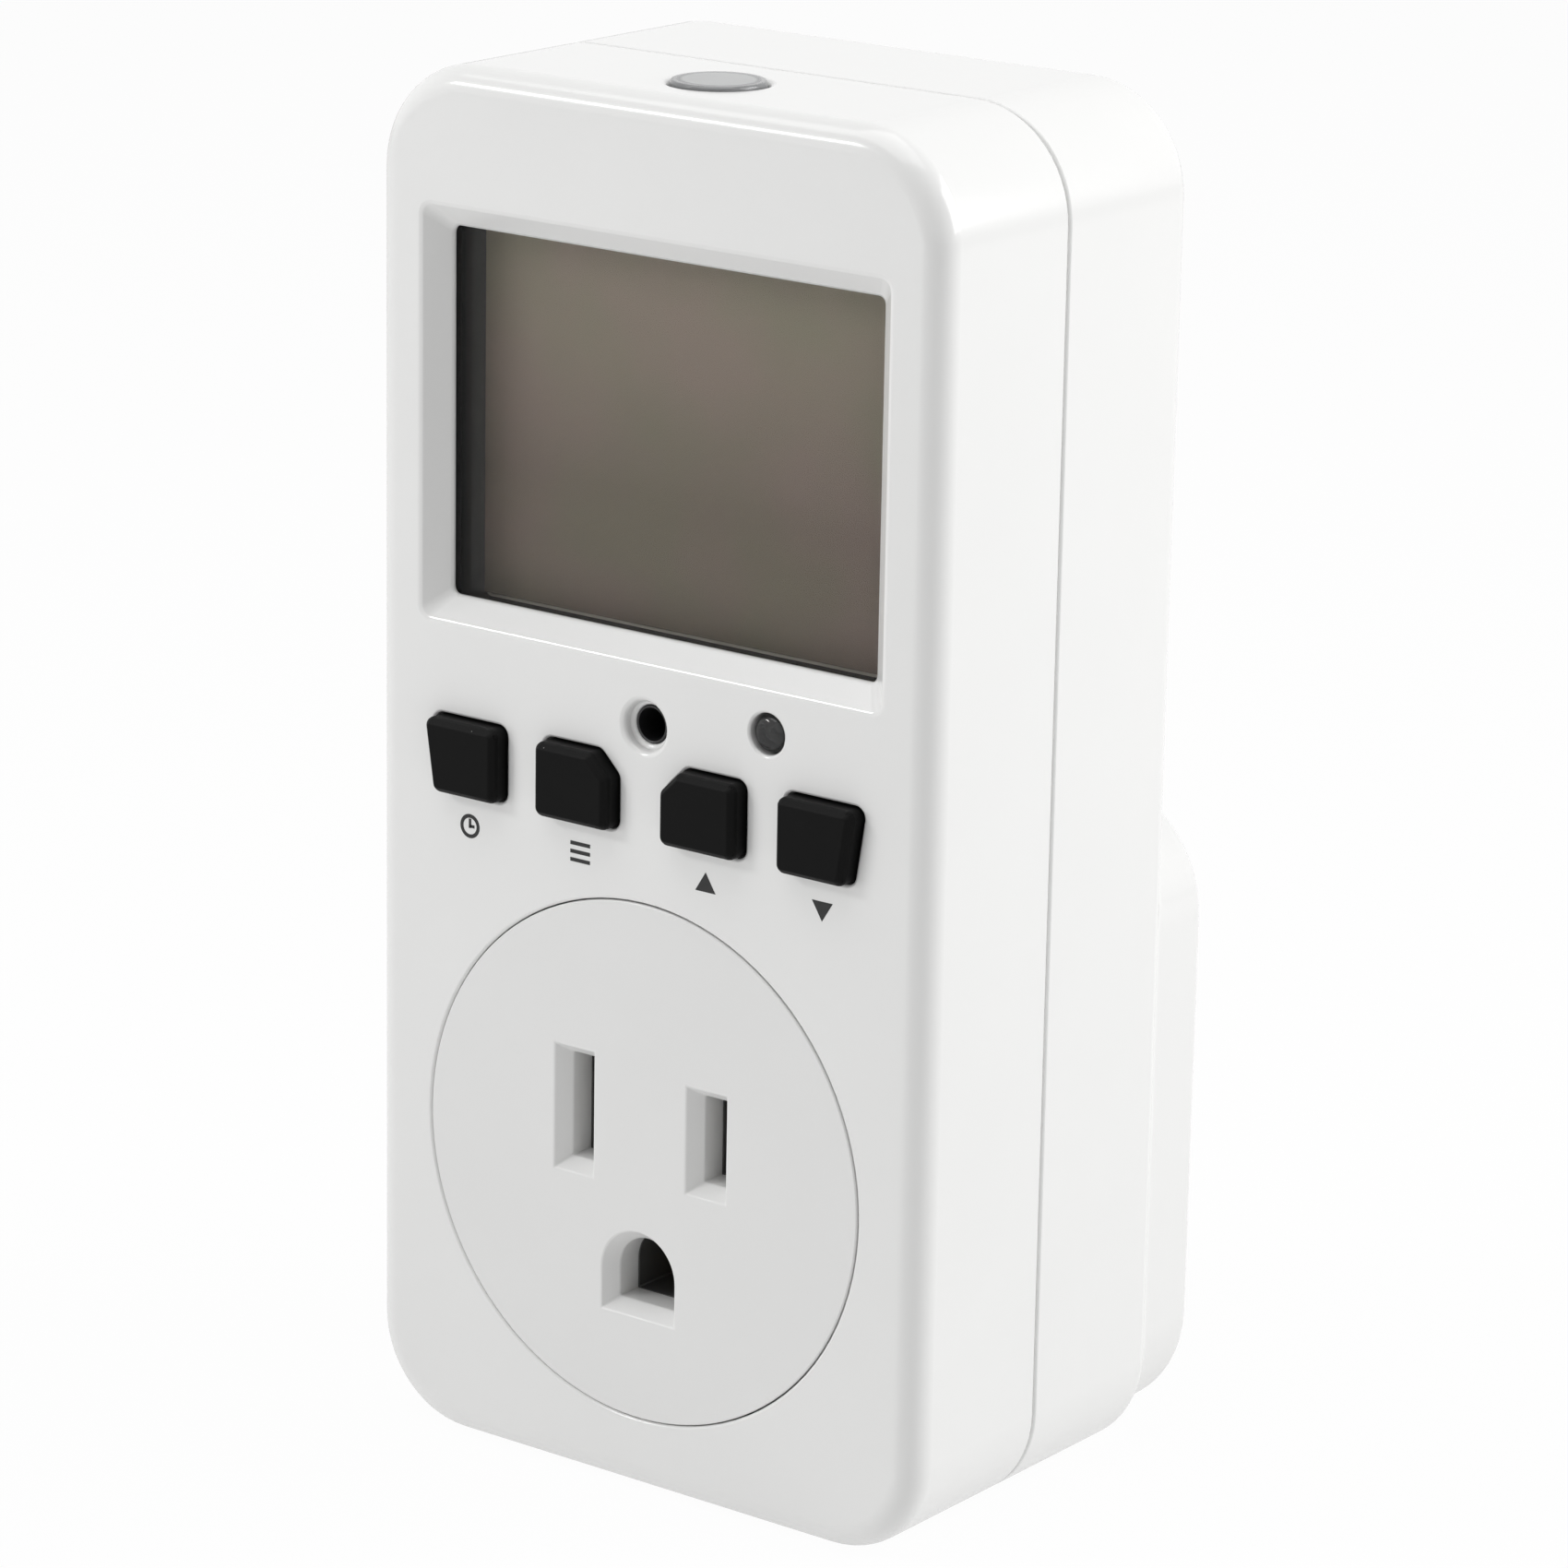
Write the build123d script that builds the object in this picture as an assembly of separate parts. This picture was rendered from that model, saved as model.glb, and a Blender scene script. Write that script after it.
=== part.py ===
from build123d import *
import os
from math import atan2, degrees

# Plug-in timer switch. X points right and Y points into the wall as seen from the front, Z is up.
# The origin is the middle of the plug face, between the two flat blades. All sizes are in mm.

# ---------------------------------------------------------------- plug and outlet pattern
blade_pitch = 12.7            # centre to centre of the two blades, and of the two slots
ground_drop = 11.9            # ground pin and ground hole below the blade line
blade_thickness = 1.5
blade_width = 6.35
blade_reach = 16.5            # blade length in front of the plug face
blade_bevel = 1.4             # bevel at the blade tip
blade_hole_radius = 1.6
blade_hole_place = 11.9       # blade hole, measured from the plug face
pin_radius = 2.375
pin_reach = 19.8
pin_tip_radius = 1.9

# ---------------------------------------------------------------- case
body_width = 52.5
top_height = 78.3             # top face above the blade line
body_depth = 31.0             # front face to the rear face of the upper case
boss_depth = 5.7              # plug boss behind that face
front_shell_depth = 15.4      # front face to the seam
wall = 2.0
corner_radius = 8.3
front_edge_radius = 2.15
rear_edge_radius = 1.6
boss_top_height = 22.9
boss_side_inset = 0.4
boss_bottom_inset = 0.8
boss_corner_radius = 9.6
boss_edge_radius = 0.8
boss_blend_radius = 1.6       # hollow between the boss and the case
seam_gap = 0.18
lip_depth = 1.6
lip_thickness = 0.9
fit_gap = 0.15                # general clearance between moulded pieces

# ---------------------------------------------------------------- case screws
case_screw_inset_top = 5.9    # from the case sides and the top
case_screw_inset_bottom = 6.6
case_screw_seat_depth = 3.5   # head seat in front of the upper rear face
case_screw_length = 16.0
case_screw_radius = 1.3
case_head_radius = 2.6
case_head_height = 2.0
case_post_radius = 2.8
case_column_wall = 0.8
head_gap = 0.2
thread_gap = 0.05
recess_span = 1.3             # cross recess across its arms, in head radii
recess_arm = 0.33             # width of one arm, in head radii

# ---------------------------------------------------------------- display
bezel_side_margin = 4.5
bezel_top_margin = 10.4
bezel_bevel = 1.8
bezel_land = 0.2
bezel_corner_radius = 1.0
window_corner_radius = 0.6
window_lap = 1.6
window_thickness = 1.5
gasket_thickness = 2.9
gasket_low_relief = 0.75      # opening of the gasket below the visible window
lcd_thickness = 2.4
lcd_board_gap = 2.2
holder_wall = 1.0
zebra_thickness = 2.0

# ---------------------------------------------------------------- keys
key_side_margin = 5.92        # outer keys in from the case sides
key_height = 5.8
key_gap_middle = 4.86
key_gap_side = 3.78
key_row_rise = 8.32           # key centre line above the outlet disc
bezel_rise = 10.13            # display frame above the key centre line
key_proud = 1.55
key_side_height = 1.05
key_shoulder = 0.45
key_corner_radius = 0.7
key_slant = 0.9               # outer edge of the outer keys leans in by this much
key_corner_cut = 1.7          # cut corner of the inner keys
key_hole_gap = 0.15
key_travel = 0.9
key_end_gap = 0.05
key_flange_width = 0.9
key_flange_thickness = 0.8
pill_radius = 1.8
pill_thickness = 0.4
mat_thickness = 1.0
mat_margin = 1.2
mat_hole_gap = 0.5

# ---------------------------------------------------------------- status lamp, probe jack, night light
led_drop = 3.2
led_radius = 1.5
led_length = 5.3
led_flange = 0.4
led_tip_round = 0.9
led_lead = 0.5
led_lead_pitch = 2.0
jack_drop = 4.7
jack_mouth_radius = 2.15
jack_step_radius = 1.85
jack_hole_radius = 1.5
jack_nose_gap = 0.05
jack_mouth_depth = 0.9
jack_bevel_depth = 0.45
jack_bore_radius = 1.25
jack_bore_depth = 8.0
jack_body_width = 4.4
jack_body_below = 2.0         # jack body below its axis
jack_body_above = 3.4
jack_body_corner = 0.5
lens_place_depth = 7.9
lens_radius = 3.6
lens_proud = 0.25
lens_gap = 0.1
lens_edge = 0.3
lens_flange = 1.0
lens_flange_thickness = 1.2
night_led_radius = 1.5
night_led_gap = 1.0
night_led_tip_round = 1.2

# ---------------------------------------------------------------- control board
board_thickness = 1.6
board_side_gap = 0.9
board_tongue_half = 15.5
board_post_radius = 2.0
board_post_low_side = 3.2     # lower posts, from the inner case wall
board_post_low_drop = 3.5
board_post_high_x = 12.5
board_post_high_rise = 3.2
board_screw_radius = 0.9
board_head_radius = 1.8
board_head_height = 1.2
board_screw_length = 6.0
chip_size = 10.0
chip_thickness = 1.5
chip_pins = 8
chip_pin_pitch = 1.0
chip_pin_reach = 1.0
chip_side_margin = 10.65
row_drop = 9.0                # chip, crystal and cell below the board shoulder
crystal_gap = 2.4
crystal_radius = 1.0
crystal_length = 6.0
cell_side_margin = 11.65
cell_radius = 6.25
cell_thickness = 2.0
clip_thickness = 0.4
link_pins = 6
link_width = 15.24            # six pins at the usual spacing
link_pin = 0.64
link_strip = 2.5
link_drop = 2.2

# ---------------------------------------------------------------- outlet
outlet_drop = 2.9             # outlet disc centre below the blade line
outlet_side_margin = 5.8      # outlet disc in from the case sides
outlet_bottom_margin = 5.95   # and above the case bottom
outlet_gap = 0.12
outlet_flange = 1.6
outlet_flange_thickness = 1.5
slot_mouth_width = 3.9
slot_bevel = 0.88
slot_bevel_depth = 1.25
neutral_mouth_height = 10.1
line_mouth_height = 8.6
ground_mouth_radius = 3.55
ground_mouth_floor = 3.4      # flat of the ground hole below its centre
contact_guard = 1.2           # wall of the carrier in front of the blade contacts
contact_root_gap = 3.5        # contact bases to the blade roots
contact_width = 5.6
contact_leaf = 0.6
contact_grip = 1.3            # gap between the leaves
contact_mouth = 2.4
contact_base = 0.8
contact_lug = 0.8
contact_tail_gap = 0.2        # contact tails stop short of the blade roots
carrier_wall = 1.6
carrier_gap = 0.2
sleeve_radius = 2.3
sleeve_wall = 0.6
sleeve_slit = 1.2
ear_screw_x = 15.0
ear_thickness = 2.5
ear_half_height = 3.0
ear_post_radius = 2.2
ear_post_length = 5.5
ear_screw_radius = 1.1
ear_head_radius = 2.0
ear_head_height = 1.4
ear_screw_length = 6.5

# ---------------------------------------------------------------- plug
blade_shoulder = 1.3          # shoulder above and below the blade
blade_shoulder_depth = 1.2
blade_root = 13.0             # blade behind the plug face
plug_block_depth = 6.0
plug_block_wall = 3.0
plug_ear_post = 3.0
pin_head_radius = 3.4
pin_collar = 0.4              # collar of the pin inside the rear wall
strap_thickness = 0.8
strap_width = 4.0
strap_board_lap = 4.5

# ---------------------------------------------------------------- power board
power_board_thickness = 1.6
power_standoff = 1.8
power_standoff_radius = 2.2
power_post_side = 3.4
power_post_end = 3.0          # standoffs, from the board's ends
power_bottom_rise = 1.1
power_screw_length = 4.4
relay_length = 29.0
relay_width = 12.7
relay_board_gap = 0.6         # relay roof to the control board
relay_fuse_gap = 1.4
relay_rise = 14.4
relay_base = 1.2
relay_cover_wall = 0.7
relay_gap = 0.3
coil_radius = 4.2
coil_core_radius = 2.0
coil_flange = 0.8
coil_place = 5.6              # coil axis from the yoke's outer face
yoke_thickness = 1.2
yoke_width = 8.0
core_gap = 0.35
bobbin_drop = 0.6             # bobbin below the end of the core
armature_thickness = 1.0
armature_lift = 0.1
armature_length = 10.5
spring_thickness = 0.3
spring_width = 4.0
spring_length = 13.0
spring_lap = 2.4              # part of the strip that is welded under the armature
contact_radius = 1.5
contact_height = 0.8
contact_open = 0.95
relay_post_thickness = 0.8
film_length = 16.0
film_width = 7.0
film_side_gap = 2.15          # film capacitor from the board's edge
can_radius = 4.5
can_gap = 2.6
varistor_thickness = 4.0
varistor_side_gap = 7.65
varistor_leg = 1.5
fuse_radius = 3.6
fuse_height = 8.0
fuse_side_gap = 1.95
rectifier_width = 8.0
rectifier_height = 6.0
rectifier_thickness = 3.0
rectifier_side_gap = 6.65
row_gap = 1.6
tall_gap = 0.3                # tall parts to the clip on the control board
lead_radius = 0.4

# ---------------------------------------------------------------- places that follow from the sizes
body_half = body_width / 2
rear_face = -boss_depth
front_face = rear_face - body_depth
seam = front_face + front_shell_depth
front_rim = seam - seam_gap
inner_front = front_face + wall
inner_rear = rear_face - wall
inner_half = body_half - wall
inner_top = top_height - wall

outlet_z = -outlet_drop
outlet_radius = body_half - outlet_side_margin
bottom_drop = outlet_drop + outlet_radius + outlet_bottom_margin

key_z = outlet_z + outlet_radius + key_row_rise
key_width = (body_half - key_side_margin - key_gap_middle / 2 - key_gap_side) / 2
key_inner_x = key_gap_middle / 2 + key_width / 2
key_outer_x = key_inner_x + key_width + key_gap_side

bezel_half = body_half - bezel_side_margin
bezel_top = top_height - bezel_top_margin
bezel_bottom = key_z + bezel_rise
bezel_height = bezel_top - bezel_bottom
display_z = (bezel_top + bezel_bottom) / 2
view_half_x = bezel_half - bezel_bevel
view_half_z = bezel_height / 2 - bezel_bevel
glass_half_x = view_half_x + window_lap
glass_half_z = view_half_z + window_lap
window_rear = inner_front + window_thickness
lcd_front = window_rear + gasket_thickness
lcd_rear = lcd_front + lcd_thickness
glass_joint = (lcd_front + lcd_rear) / 2
board_front = lcd_rear + lcd_board_gap
board_rear = board_front + board_thickness
holder_half_x = glass_half_x + fit_gap + holder_wall
holder_half_z = glass_half_z + fit_gap + holder_wall

screw_spots_top = [(side * (body_half - case_screw_inset_top), top_height - case_screw_inset_top)
                   for side in (-1, 1)]
screw_spots_bottom = [(side * (body_half - case_screw_inset_bottom), -bottom_drop + case_screw_inset_bottom)
                      for side in (-1, 1)]
case_screw_spots = screw_spots_top + screw_spots_bottom
case_screw_seat = rear_face - case_screw_seat_depth
case_bore_radius = case_head_radius + head_gap
case_column_radius = case_bore_radius + case_column_wall

led_x = (key_inner_x + key_outer_x) / 2
led_z = bezel_bottom - led_drop
jack_z = bezel_bottom - jack_drop
lens_y = front_face + lens_place_depth

board_half = inner_half - board_side_gap
board_top = top_height - case_screw_inset_top - case_post_radius - 2 * head_gap
board_bottom = key_z - key_height / 2 - 3 * mat_margin
board_tongue_top = inner_top - lens_flange_thickness - head_gap
board_posts_low = [(side * (inner_half - board_post_low_side), bezel_bottom - board_post_low_drop)
                   for side in (-1, 1)]
board_posts_high = [(side * board_post_high_x, board_top + board_post_high_rise) for side in (-1, 1)]
board_screw_spots = board_posts_low + board_posts_high
row_z = board_top - row_drop
chip_x = chip_side_margin - board_half
crystal_x = chip_x + chip_size / 2 + chip_pin_reach + crystal_gap + crystal_radius
cell_x = board_half - cell_side_margin
link_z = board_top - link_drop

line_x = blade_pitch / 2
neutral_x = -line_x
root_front = -blade_root
base_rear = root_front - contact_root_gap
tail_rear = root_front - contact_tail_gap
carrier_front = inner_front + outlet_flange_thickness
pocket_front = carrier_front + contact_guard
carrier_rear = base_rear - contact_base
contact_length = carrier_rear - carrier_front
carrier_half = line_x + contact_mouth / 2 + contact_leaf + carrier_gap + carrier_wall
carrier_top = contact_width / 2 + carrier_gap + carrier_wall
carrier_bottom = -ground_drop - sleeve_radius - sleeve_wall - carrier_gap - carrier_wall

power_rear = inner_rear - power_standoff
power_front = power_rear - power_board_thickness
power_bottom = boss_top_height + power_bottom_rise
power_top = top_height - case_screw_inset_top - case_column_radius - 3 * head_gap
power_post_x = inner_half - power_post_side
power_screw_spots = [(side * power_post_x, z)
                     for side in (-1, 1)
                     for z in (power_bottom + power_post_end, power_top - power_post_end)]
tall_height = power_front - board_rear - cell_thickness - clip_thickness - tall_gap
varistor_radius = (tall_height - varistor_leg) / 2
relay_z = power_bottom + relay_rise
tall_row_z = relay_z + relay_width / 2 + row_gap + varistor_radius
low_row_z = tall_row_z + varistor_radius + row_gap + rectifier_height / 2
film_x = film_side_gap + film_length / 2 - board_half
can_x = film_x + film_length / 2 + can_gap + can_radius
varistor_x = board_half - varistor_side_gap
rectifier_x = rectifier_side_gap + rectifier_width / 2 - board_half
fuse_x = inner_half - fuse_side_gap - fuse_radius


# ---------------------------------------------------------------- drawing helpers
def span_box(x0, x1, y0, y1, z0, z1):
    """Box between two opposite corners."""
    return Pos((x0 + x1) / 2, (y0 + y1) / 2, (z0 + z1) / 2) * Box(x1 - x0, y1 - y0, z1 - z0)


def along_y(sketch, y0, y1):
    """Sketch drawn in X and Z, made solid from y0 back to y1."""
    return extrude(Plane.XZ.offset(-y1) * sketch, amount=y1 - y0)


def along_x(sketch, x0, x1):
    """Sketch drawn in Y and Z, made solid from x0 to x1."""
    return extrude(Plane.YZ.offset(x0) * sketch, amount=x1 - x0)


def along_z(sketch, z0, z1):
    """Sketch drawn in X and Y, made solid from z0 up to z1."""
    return extrude(Plane.XY.offset(z0) * sketch, amount=z1 - z0)


def rod_y(x, z, radius, y0, y1):
    """Round rod along Y."""
    return along_y(Pos(x, z) * Circle(radius), y0, y1)


def rounded(half_x, z0, z1, radius):
    """Rectangle with round corners, centred on X = 0."""
    return Pos(0, (z0 + z1) / 2) * RectangleRounded(2 * half_x, z1 - z0, radius)


def case_outline(inset):
    """Outline of the case, drawn in by inset."""
    return rounded(body_half - inset, -bottom_drop + inset, top_height - inset, corner_radius - inset)


def boss_outline(inset):
    """Outline of the plug boss, drawn in by inset."""
    side = body_half - boss_side_inset - inset
    bottom = -bottom_drop + boss_bottom_inset + inset
    return rounded(side, bottom, boss_top_height - inset, boss_corner_radius - inset)


def display_outline(half_x, half_z, radius):
    """Rounded rectangle about the middle of the display."""
    return rounded(half_x, display_z - half_z, display_z + half_z, radius)


def screw(x, z, seat, facing, head_radius, head_height, shank_radius, length):
    """Cross-head screw along Y. Its head faces +Y where facing is 1 and -Y where it is -1."""
    head = Pos(0, 0, head_height / 2) * Cylinder(head_radius, head_height)
    head = fillet(head.edges().sort_by(Axis.Z)[-1], head_height / 4)
    shank = Pos(0, 0, -length / 2) * Cylinder(shank_radius, length)
    shank = chamfer(shank.edges().sort_by(Axis.Z)[0], shank_radius / 2)
    arm = Box(head_radius * recess_span, head_radius * recess_arm, head_height)
    recess = Pos(0, 0, head_height) * (arm + Rot(0, 0, 90) * arm)
    return Pos(x, seat, z) * Rot(-90 * facing, 0, 0) * (head + shank - recess)


def key_outline(outer):
    """Right-hand key seen from the front, about its own centre."""
    right, top = key_width / 2, key_height / 2
    if outer:
        points = [(-right, -top), (right - key_slant, -top), (right, top), (-right, top)]
    else:
        points = [(-right, -top), (right, -top), (right, top),
                  (-right + key_corner_cut, top), (-right, top - key_corner_cut)]
    face = make_face(Polyline(*points, close=True))
    return fillet(face.vertices(), key_corner_radius)


def key_sketch(side, outer):
    """Key outline at its place in the row."""
    outline = key_outline(outer)
    if side < 0:
        outline = mirror(outline, about=Plane.YZ)
    return Pos(side * (key_outer_x if outer else key_inner_x), key_z) * outline


keys = {"key_set": (-1, True), "key_function": (-1, False), "key_up": (1, False), "key_down": (1, True)}


# ---------------------------------------------------------------- front of the case
def front_shell():
    """Front half of the case, with posts for the screws and every front opening."""
    outer = along_y(case_outline(0), front_face, front_rim)
    outer = fillet(outer.faces().sort_by(Axis.Y)[0].edges(), front_edge_radius)
    shell = outer - along_y(case_outline(wall), inner_front, front_rim)
    rabbet = case_outline(wall - lip_thickness - fit_gap)
    shell -= along_y(rabbet, front_rim - lip_depth, front_rim)
    for x, z in case_screw_spots:
        shell += rod_y(x, z, case_post_radius, inner_front, seam)
    for x, z in board_screw_spots:
        shell += rod_y(x, z, board_post_radius, inner_front, board_front)
    for x, z in case_screw_spots:
        shell -= rod_y(x, z, case_screw_radius + thread_gap, inner_front, seam)
    for x, z in board_screw_spots:
        shell -= rod_y(x, z, board_screw_radius + thread_gap, inner_front, board_front)
    front_edge = Plane.XZ.offset(-front_face) * display_outline(bezel_half, bezel_height / 2,
                                                                bezel_corner_radius)
    land = inner_front - bezel_land
    rear_edge = Plane.XZ.offset(-land) * display_outline(view_half_x, view_half_z, window_corner_radius)
    shell -= loft([front_edge, rear_edge])
    shell -= along_y(display_outline(view_half_x, view_half_z, window_corner_radius), land, inner_front)
    for side, outer_key in keys.values():
        shell -= along_y(offset(key_sketch(side, outer_key), amount=key_hole_gap), front_face, inner_front)
    shell -= rod_y(led_x, led_z, led_radius + lens_gap, front_face, inner_front)
    step = front_face + jack_mouth_depth
    shell -= rod_y(0, jack_z, jack_hole_radius, front_face, inner_front)
    shell -= rod_y(0, jack_z, jack_step_radius, front_face, step)
    mouth = Plane.XZ.offset(-front_face) * Pos(0, jack_z) * Circle(jack_mouth_radius)
    bevel_floor = Plane.XZ.offset(-front_face - jack_bevel_depth) * Pos(0, jack_z) * Circle(jack_step_radius)
    shell -= loft([mouth, bevel_floor])
    shell -= rod_y(0, outlet_z, outlet_radius + outlet_gap, front_face, inner_front)
    lens_hole = lens_radius + lens_gap
    shell -= along_z(Pos(0, lens_y) * Circle(lens_hole), inner_top, top_height)
    rim_low = Plane.XY.offset(top_height - lens_edge) * Pos(0, lens_y) * Circle(lens_hole)
    rim_high = Plane.XY.offset(top_height) * Pos(0, lens_y) * Circle(lens_hole + lens_edge)
    return shell - loft([rim_low, rim_high])


def lcd_window():
    """Clear plate seated behind the bezel."""
    outline = display_outline(glass_half_x, glass_half_z, window_corner_radius)
    return along_y(outline, inner_front, window_rear)


def lcd_gasket():
    """Black foam frame that keeps dust off the display."""
    outer = display_outline(glass_half_x, glass_half_z, window_corner_radius)
    opening = rounded(view_half_x + fit_gap, display_z - view_half_z - fit_gap - gasket_low_relief,
                      display_z + view_half_z + fit_gap, window_corner_radius)
    return along_y(outer - opening, window_rear, lcd_front)


def lcd_panel():
    """Two bonded glass plates, the front one longer so that it bares the contact rows behind it."""
    front_glass = display_outline(glass_half_x, glass_half_z, window_corner_radius / 2)
    rear_half = zebra_place() - zebra_thickness / 2 - fit_gap
    rear_glass = display_outline(glass_half_x, rear_half, window_corner_radius / 2)
    return along_y(front_glass, lcd_front, glass_joint) + along_y(rear_glass, glass_joint, lcd_rear)


def zebra_place():
    """Distance of each contact strip from the middle of the display."""
    return glass_half_z - zebra_thickness / 2


def lcd_holder():
    """Frame that centres the display over the board, with slots for the contact strips."""
    outline = display_outline(holder_half_x, holder_half_z, window_corner_radius + holder_wall)
    pocket = display_outline(glass_half_x + fit_gap, glass_half_z + fit_gap, window_corner_radius)
    frame = along_y(outline, window_rear, board_front) - along_y(pocket, window_rear, lcd_rear)
    strip_half = view_half_x + fit_gap
    slot_half = zebra_thickness / 2 + fit_gap
    for side in (-1, 1):
        z = display_z + side * zebra_place()
        frame -= span_box(-strip_half, strip_half, lcd_rear, board_front, z - slot_half, z + slot_half)
    middle = zebra_place() - slot_half - holder_wall
    well = display_outline(strip_half, middle, window_corner_radius)
    return frame - along_y(well, lcd_rear, board_front)


def zebra_strips():
    """Two striped rubber connectors between the front glass and the board."""
    half = zebra_thickness / 2
    strips = [span_box(-view_half_x, view_half_x, glass_joint, board_front,
                       display_z + side * zebra_place() - half, display_z + side * zebra_place() + half)
              for side in (-1, 1)]
    return Compound(strips)


# ---------------------------------------------------------------- keys
pill_rear = board_front - key_travel - key_end_gap
flange_rear = board_front - mat_thickness - key_travel - key_end_gap


def key(side, outer):
    """Silicone key: a tapered cap above the case, a stem, and a flange over the mat."""
    outline = key_sketch(side, outer)
    shoulder = front_face - key_side_height
    flange_front = flange_rear - key_flange_thickness
    stem = along_y(outline, shoulder, flange_rear)
    rise = key_proud - key_side_height
    taper = degrees(atan2(key_shoulder, rise))
    cap = extrude(Plane.XZ.offset(-shoulder) * outline, amount=rise, taper=taper)
    cap = fillet(cap.faces().sort_by(Axis.Y)[0].edges(), key_shoulder / 2)
    flange = along_y(offset(outline, amount=key_flange_width), flange_front, flange_rear)
    x = side * (key_outer_x if outer else key_inner_x)
    plunger = rod_y(x, key_z, pill_radius, flange_rear, pill_rear - pill_thickness)
    return stem + cap + flange + plunger


def key_pill(side, outer):
    """Carbon contact under a key."""
    x = side * (key_outer_x if outer else key_inner_x)
    return rod_y(x, key_z, pill_radius, pill_rear - pill_thickness, pill_rear)


def keypad_mat():
    """Silicone base sheet of the keypad, with a round hole under each key."""
    half_x = key_outer_x + key_width / 2 + mat_margin
    half_z = key_height / 2 + mat_margin
    sheet = rounded(half_x, key_z - half_z, key_z + half_z, key_corner_radius)
    for x in (-key_outer_x, -key_inner_x, key_inner_x, key_outer_x):
        sheet -= Pos(x, key_z) * Circle(pill_radius + mat_hole_gap)
    notch_half = jack_body_below + mat_hole_gap
    sheet -= Pos(0, jack_z) * Rectangle(jack_body_width + 2 * mat_hole_gap, 2 * notch_half)
    return along_y(sheet, board_front - mat_thickness, board_front)


# ---------------------------------------------------------------- lamps and jack
def status_led():
    """Clear 3 mm lamp, its domed end level with the front face, on two leads."""
    rear = front_face + led_length
    bulb = rod_y(led_x, led_z, led_radius, front_face, rear)
    bulb = fillet(bulb.edges().sort_by(Axis.Y)[0], led_tip_round)
    bulb += rod_y(led_x, led_z, led_radius + led_flange, rear - 2 * led_flange, rear)
    for side in (-1, 1):
        x = led_x + side * led_lead_pitch / 2
        bulb += span_box(x - led_lead / 2, x + led_lead / 2, rear, board_front,
                         led_z - led_lead / 2, led_z + led_lead / 2)
    return bulb


def probe_jack():
    """Jack on the control board, its round nose in the hole of the front wall."""
    half = jack_body_width / 2
    body = span_box(-half, half, inner_front, board_front, jack_z - jack_body_below, jack_z + jack_body_above)
    body = chamfer(body.edges().filter_by(Axis.Y), jack_body_corner)
    nose = front_face + jack_mouth_depth
    body += rod_y(0, jack_z, jack_hole_radius - jack_nose_gap, nose, inner_front)
    return body - rod_y(0, jack_z, jack_bore_radius, nose, inner_front + jack_bore_depth)


def night_light_lens():
    """Frosted disc in the top face, with a flange under the wall."""
    disc = along_z(Pos(0, lens_y) * Circle(lens_radius), inner_top, top_height + lens_proud)
    disc = fillet(disc.edges().sort_by(Axis.Z)[-1], lens_proud)
    flange = along_z(Pos(0, lens_y) * Circle(lens_radius + lens_flange),
                     inner_top - lens_flange_thickness, inner_top)
    return disc + flange


def night_light_led():
    """White lamp under the lens, on a foot that stands on the board."""
    top = inner_top - lens_flange_thickness - night_led_gap / 2
    bottom = board_top + night_led_gap
    bulb = along_z(Pos(0, lens_y) * Circle(night_led_radius), bottom, top)
    bulb = fillet(bulb.edges().sort_by(Axis.Z)[-1], night_led_tip_round)
    foot = span_box(-night_led_radius, night_led_radius, lens_y, board_front, bottom,
                    bottom + night_led_radius)
    return bulb + foot


# ---------------------------------------------------------------- control board
def control_board():
    """Circuit board behind the display and keys, on four posts."""
    sheet = rounded(board_half, board_bottom, board_top, key_corner_radius)
    sheet += rounded(board_tongue_half, display_z, board_tongue_top, key_corner_radius)
    for x, z in board_screw_spots:
        sheet -= Pos(x, z) * Circle(board_screw_radius + fit_gap)
    return along_y(sheet, board_front, board_rear)


def board_screws():
    """Four small screws that hold the control board to its posts."""
    return Compound([screw(x, z, board_rear, 1, board_head_radius, board_head_height,
                           board_screw_radius, board_screw_length) for x, z in board_screw_spots])


def controller_chip():
    """Square chip with pins on all four sides."""
    half = chip_size / 2
    body = span_box(chip_x - half, chip_x + half, board_rear, board_rear + chip_thickness,
                    row_z - half, row_z + half)
    body = chamfer(body.faces().sort_by(Axis.Y)[-1].edges(), chip_thickness / 6)
    pin = chip_pin_pitch / 2
    reach = half + chip_pin_reach
    for count in range(chip_pins):
        at = (count - (chip_pins - 1) / 2) * chip_pin_pitch
        body += span_box(chip_x - reach, chip_x + reach, board_rear, board_rear + pin / 2,
                         row_z + at - pin / 2, row_z + at + pin / 2)
        body += span_box(chip_x + at - pin / 2, chip_x + at + pin / 2, board_rear, board_rear + pin / 2,
                         row_z - reach, row_z + reach)
    return body


def clock_crystal():
    """Can of the clock crystal, lying on the board."""
    can = Pos(crystal_x, board_rear + crystal_radius, row_z) * Cylinder(crystal_radius, crystal_length)
    return fillet(can.edges().filter_by(GeomType.CIRCLE), crystal_radius / 4)


def battery_clip():
    """Sprung strap over the back-up cell, with a foot on each side."""
    front = board_rear + cell_thickness
    half = cell_radius + 2 * clip_thickness
    strap = span_box(cell_x - half, cell_x + half, front, front + clip_thickness,
                     row_z - cell_radius / 3, row_z + cell_radius / 3)
    for side in (-1, 1):
        edge = cell_x + side * (half - clip_thickness / 2)
        strap += span_box(edge - clip_thickness / 2, edge + clip_thickness / 2, board_rear, front,
                          row_z - cell_radius / 3, row_z + cell_radius / 3)
    return strap


def backup_cell():
    """Coin cell that keeps the clock through a power cut."""
    cell = rod_y(cell_x, row_z, cell_radius, board_rear, board_rear + cell_thickness)
    return fillet(cell.edges().filter_by(GeomType.CIRCLE), cell_thickness / 6)


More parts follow.
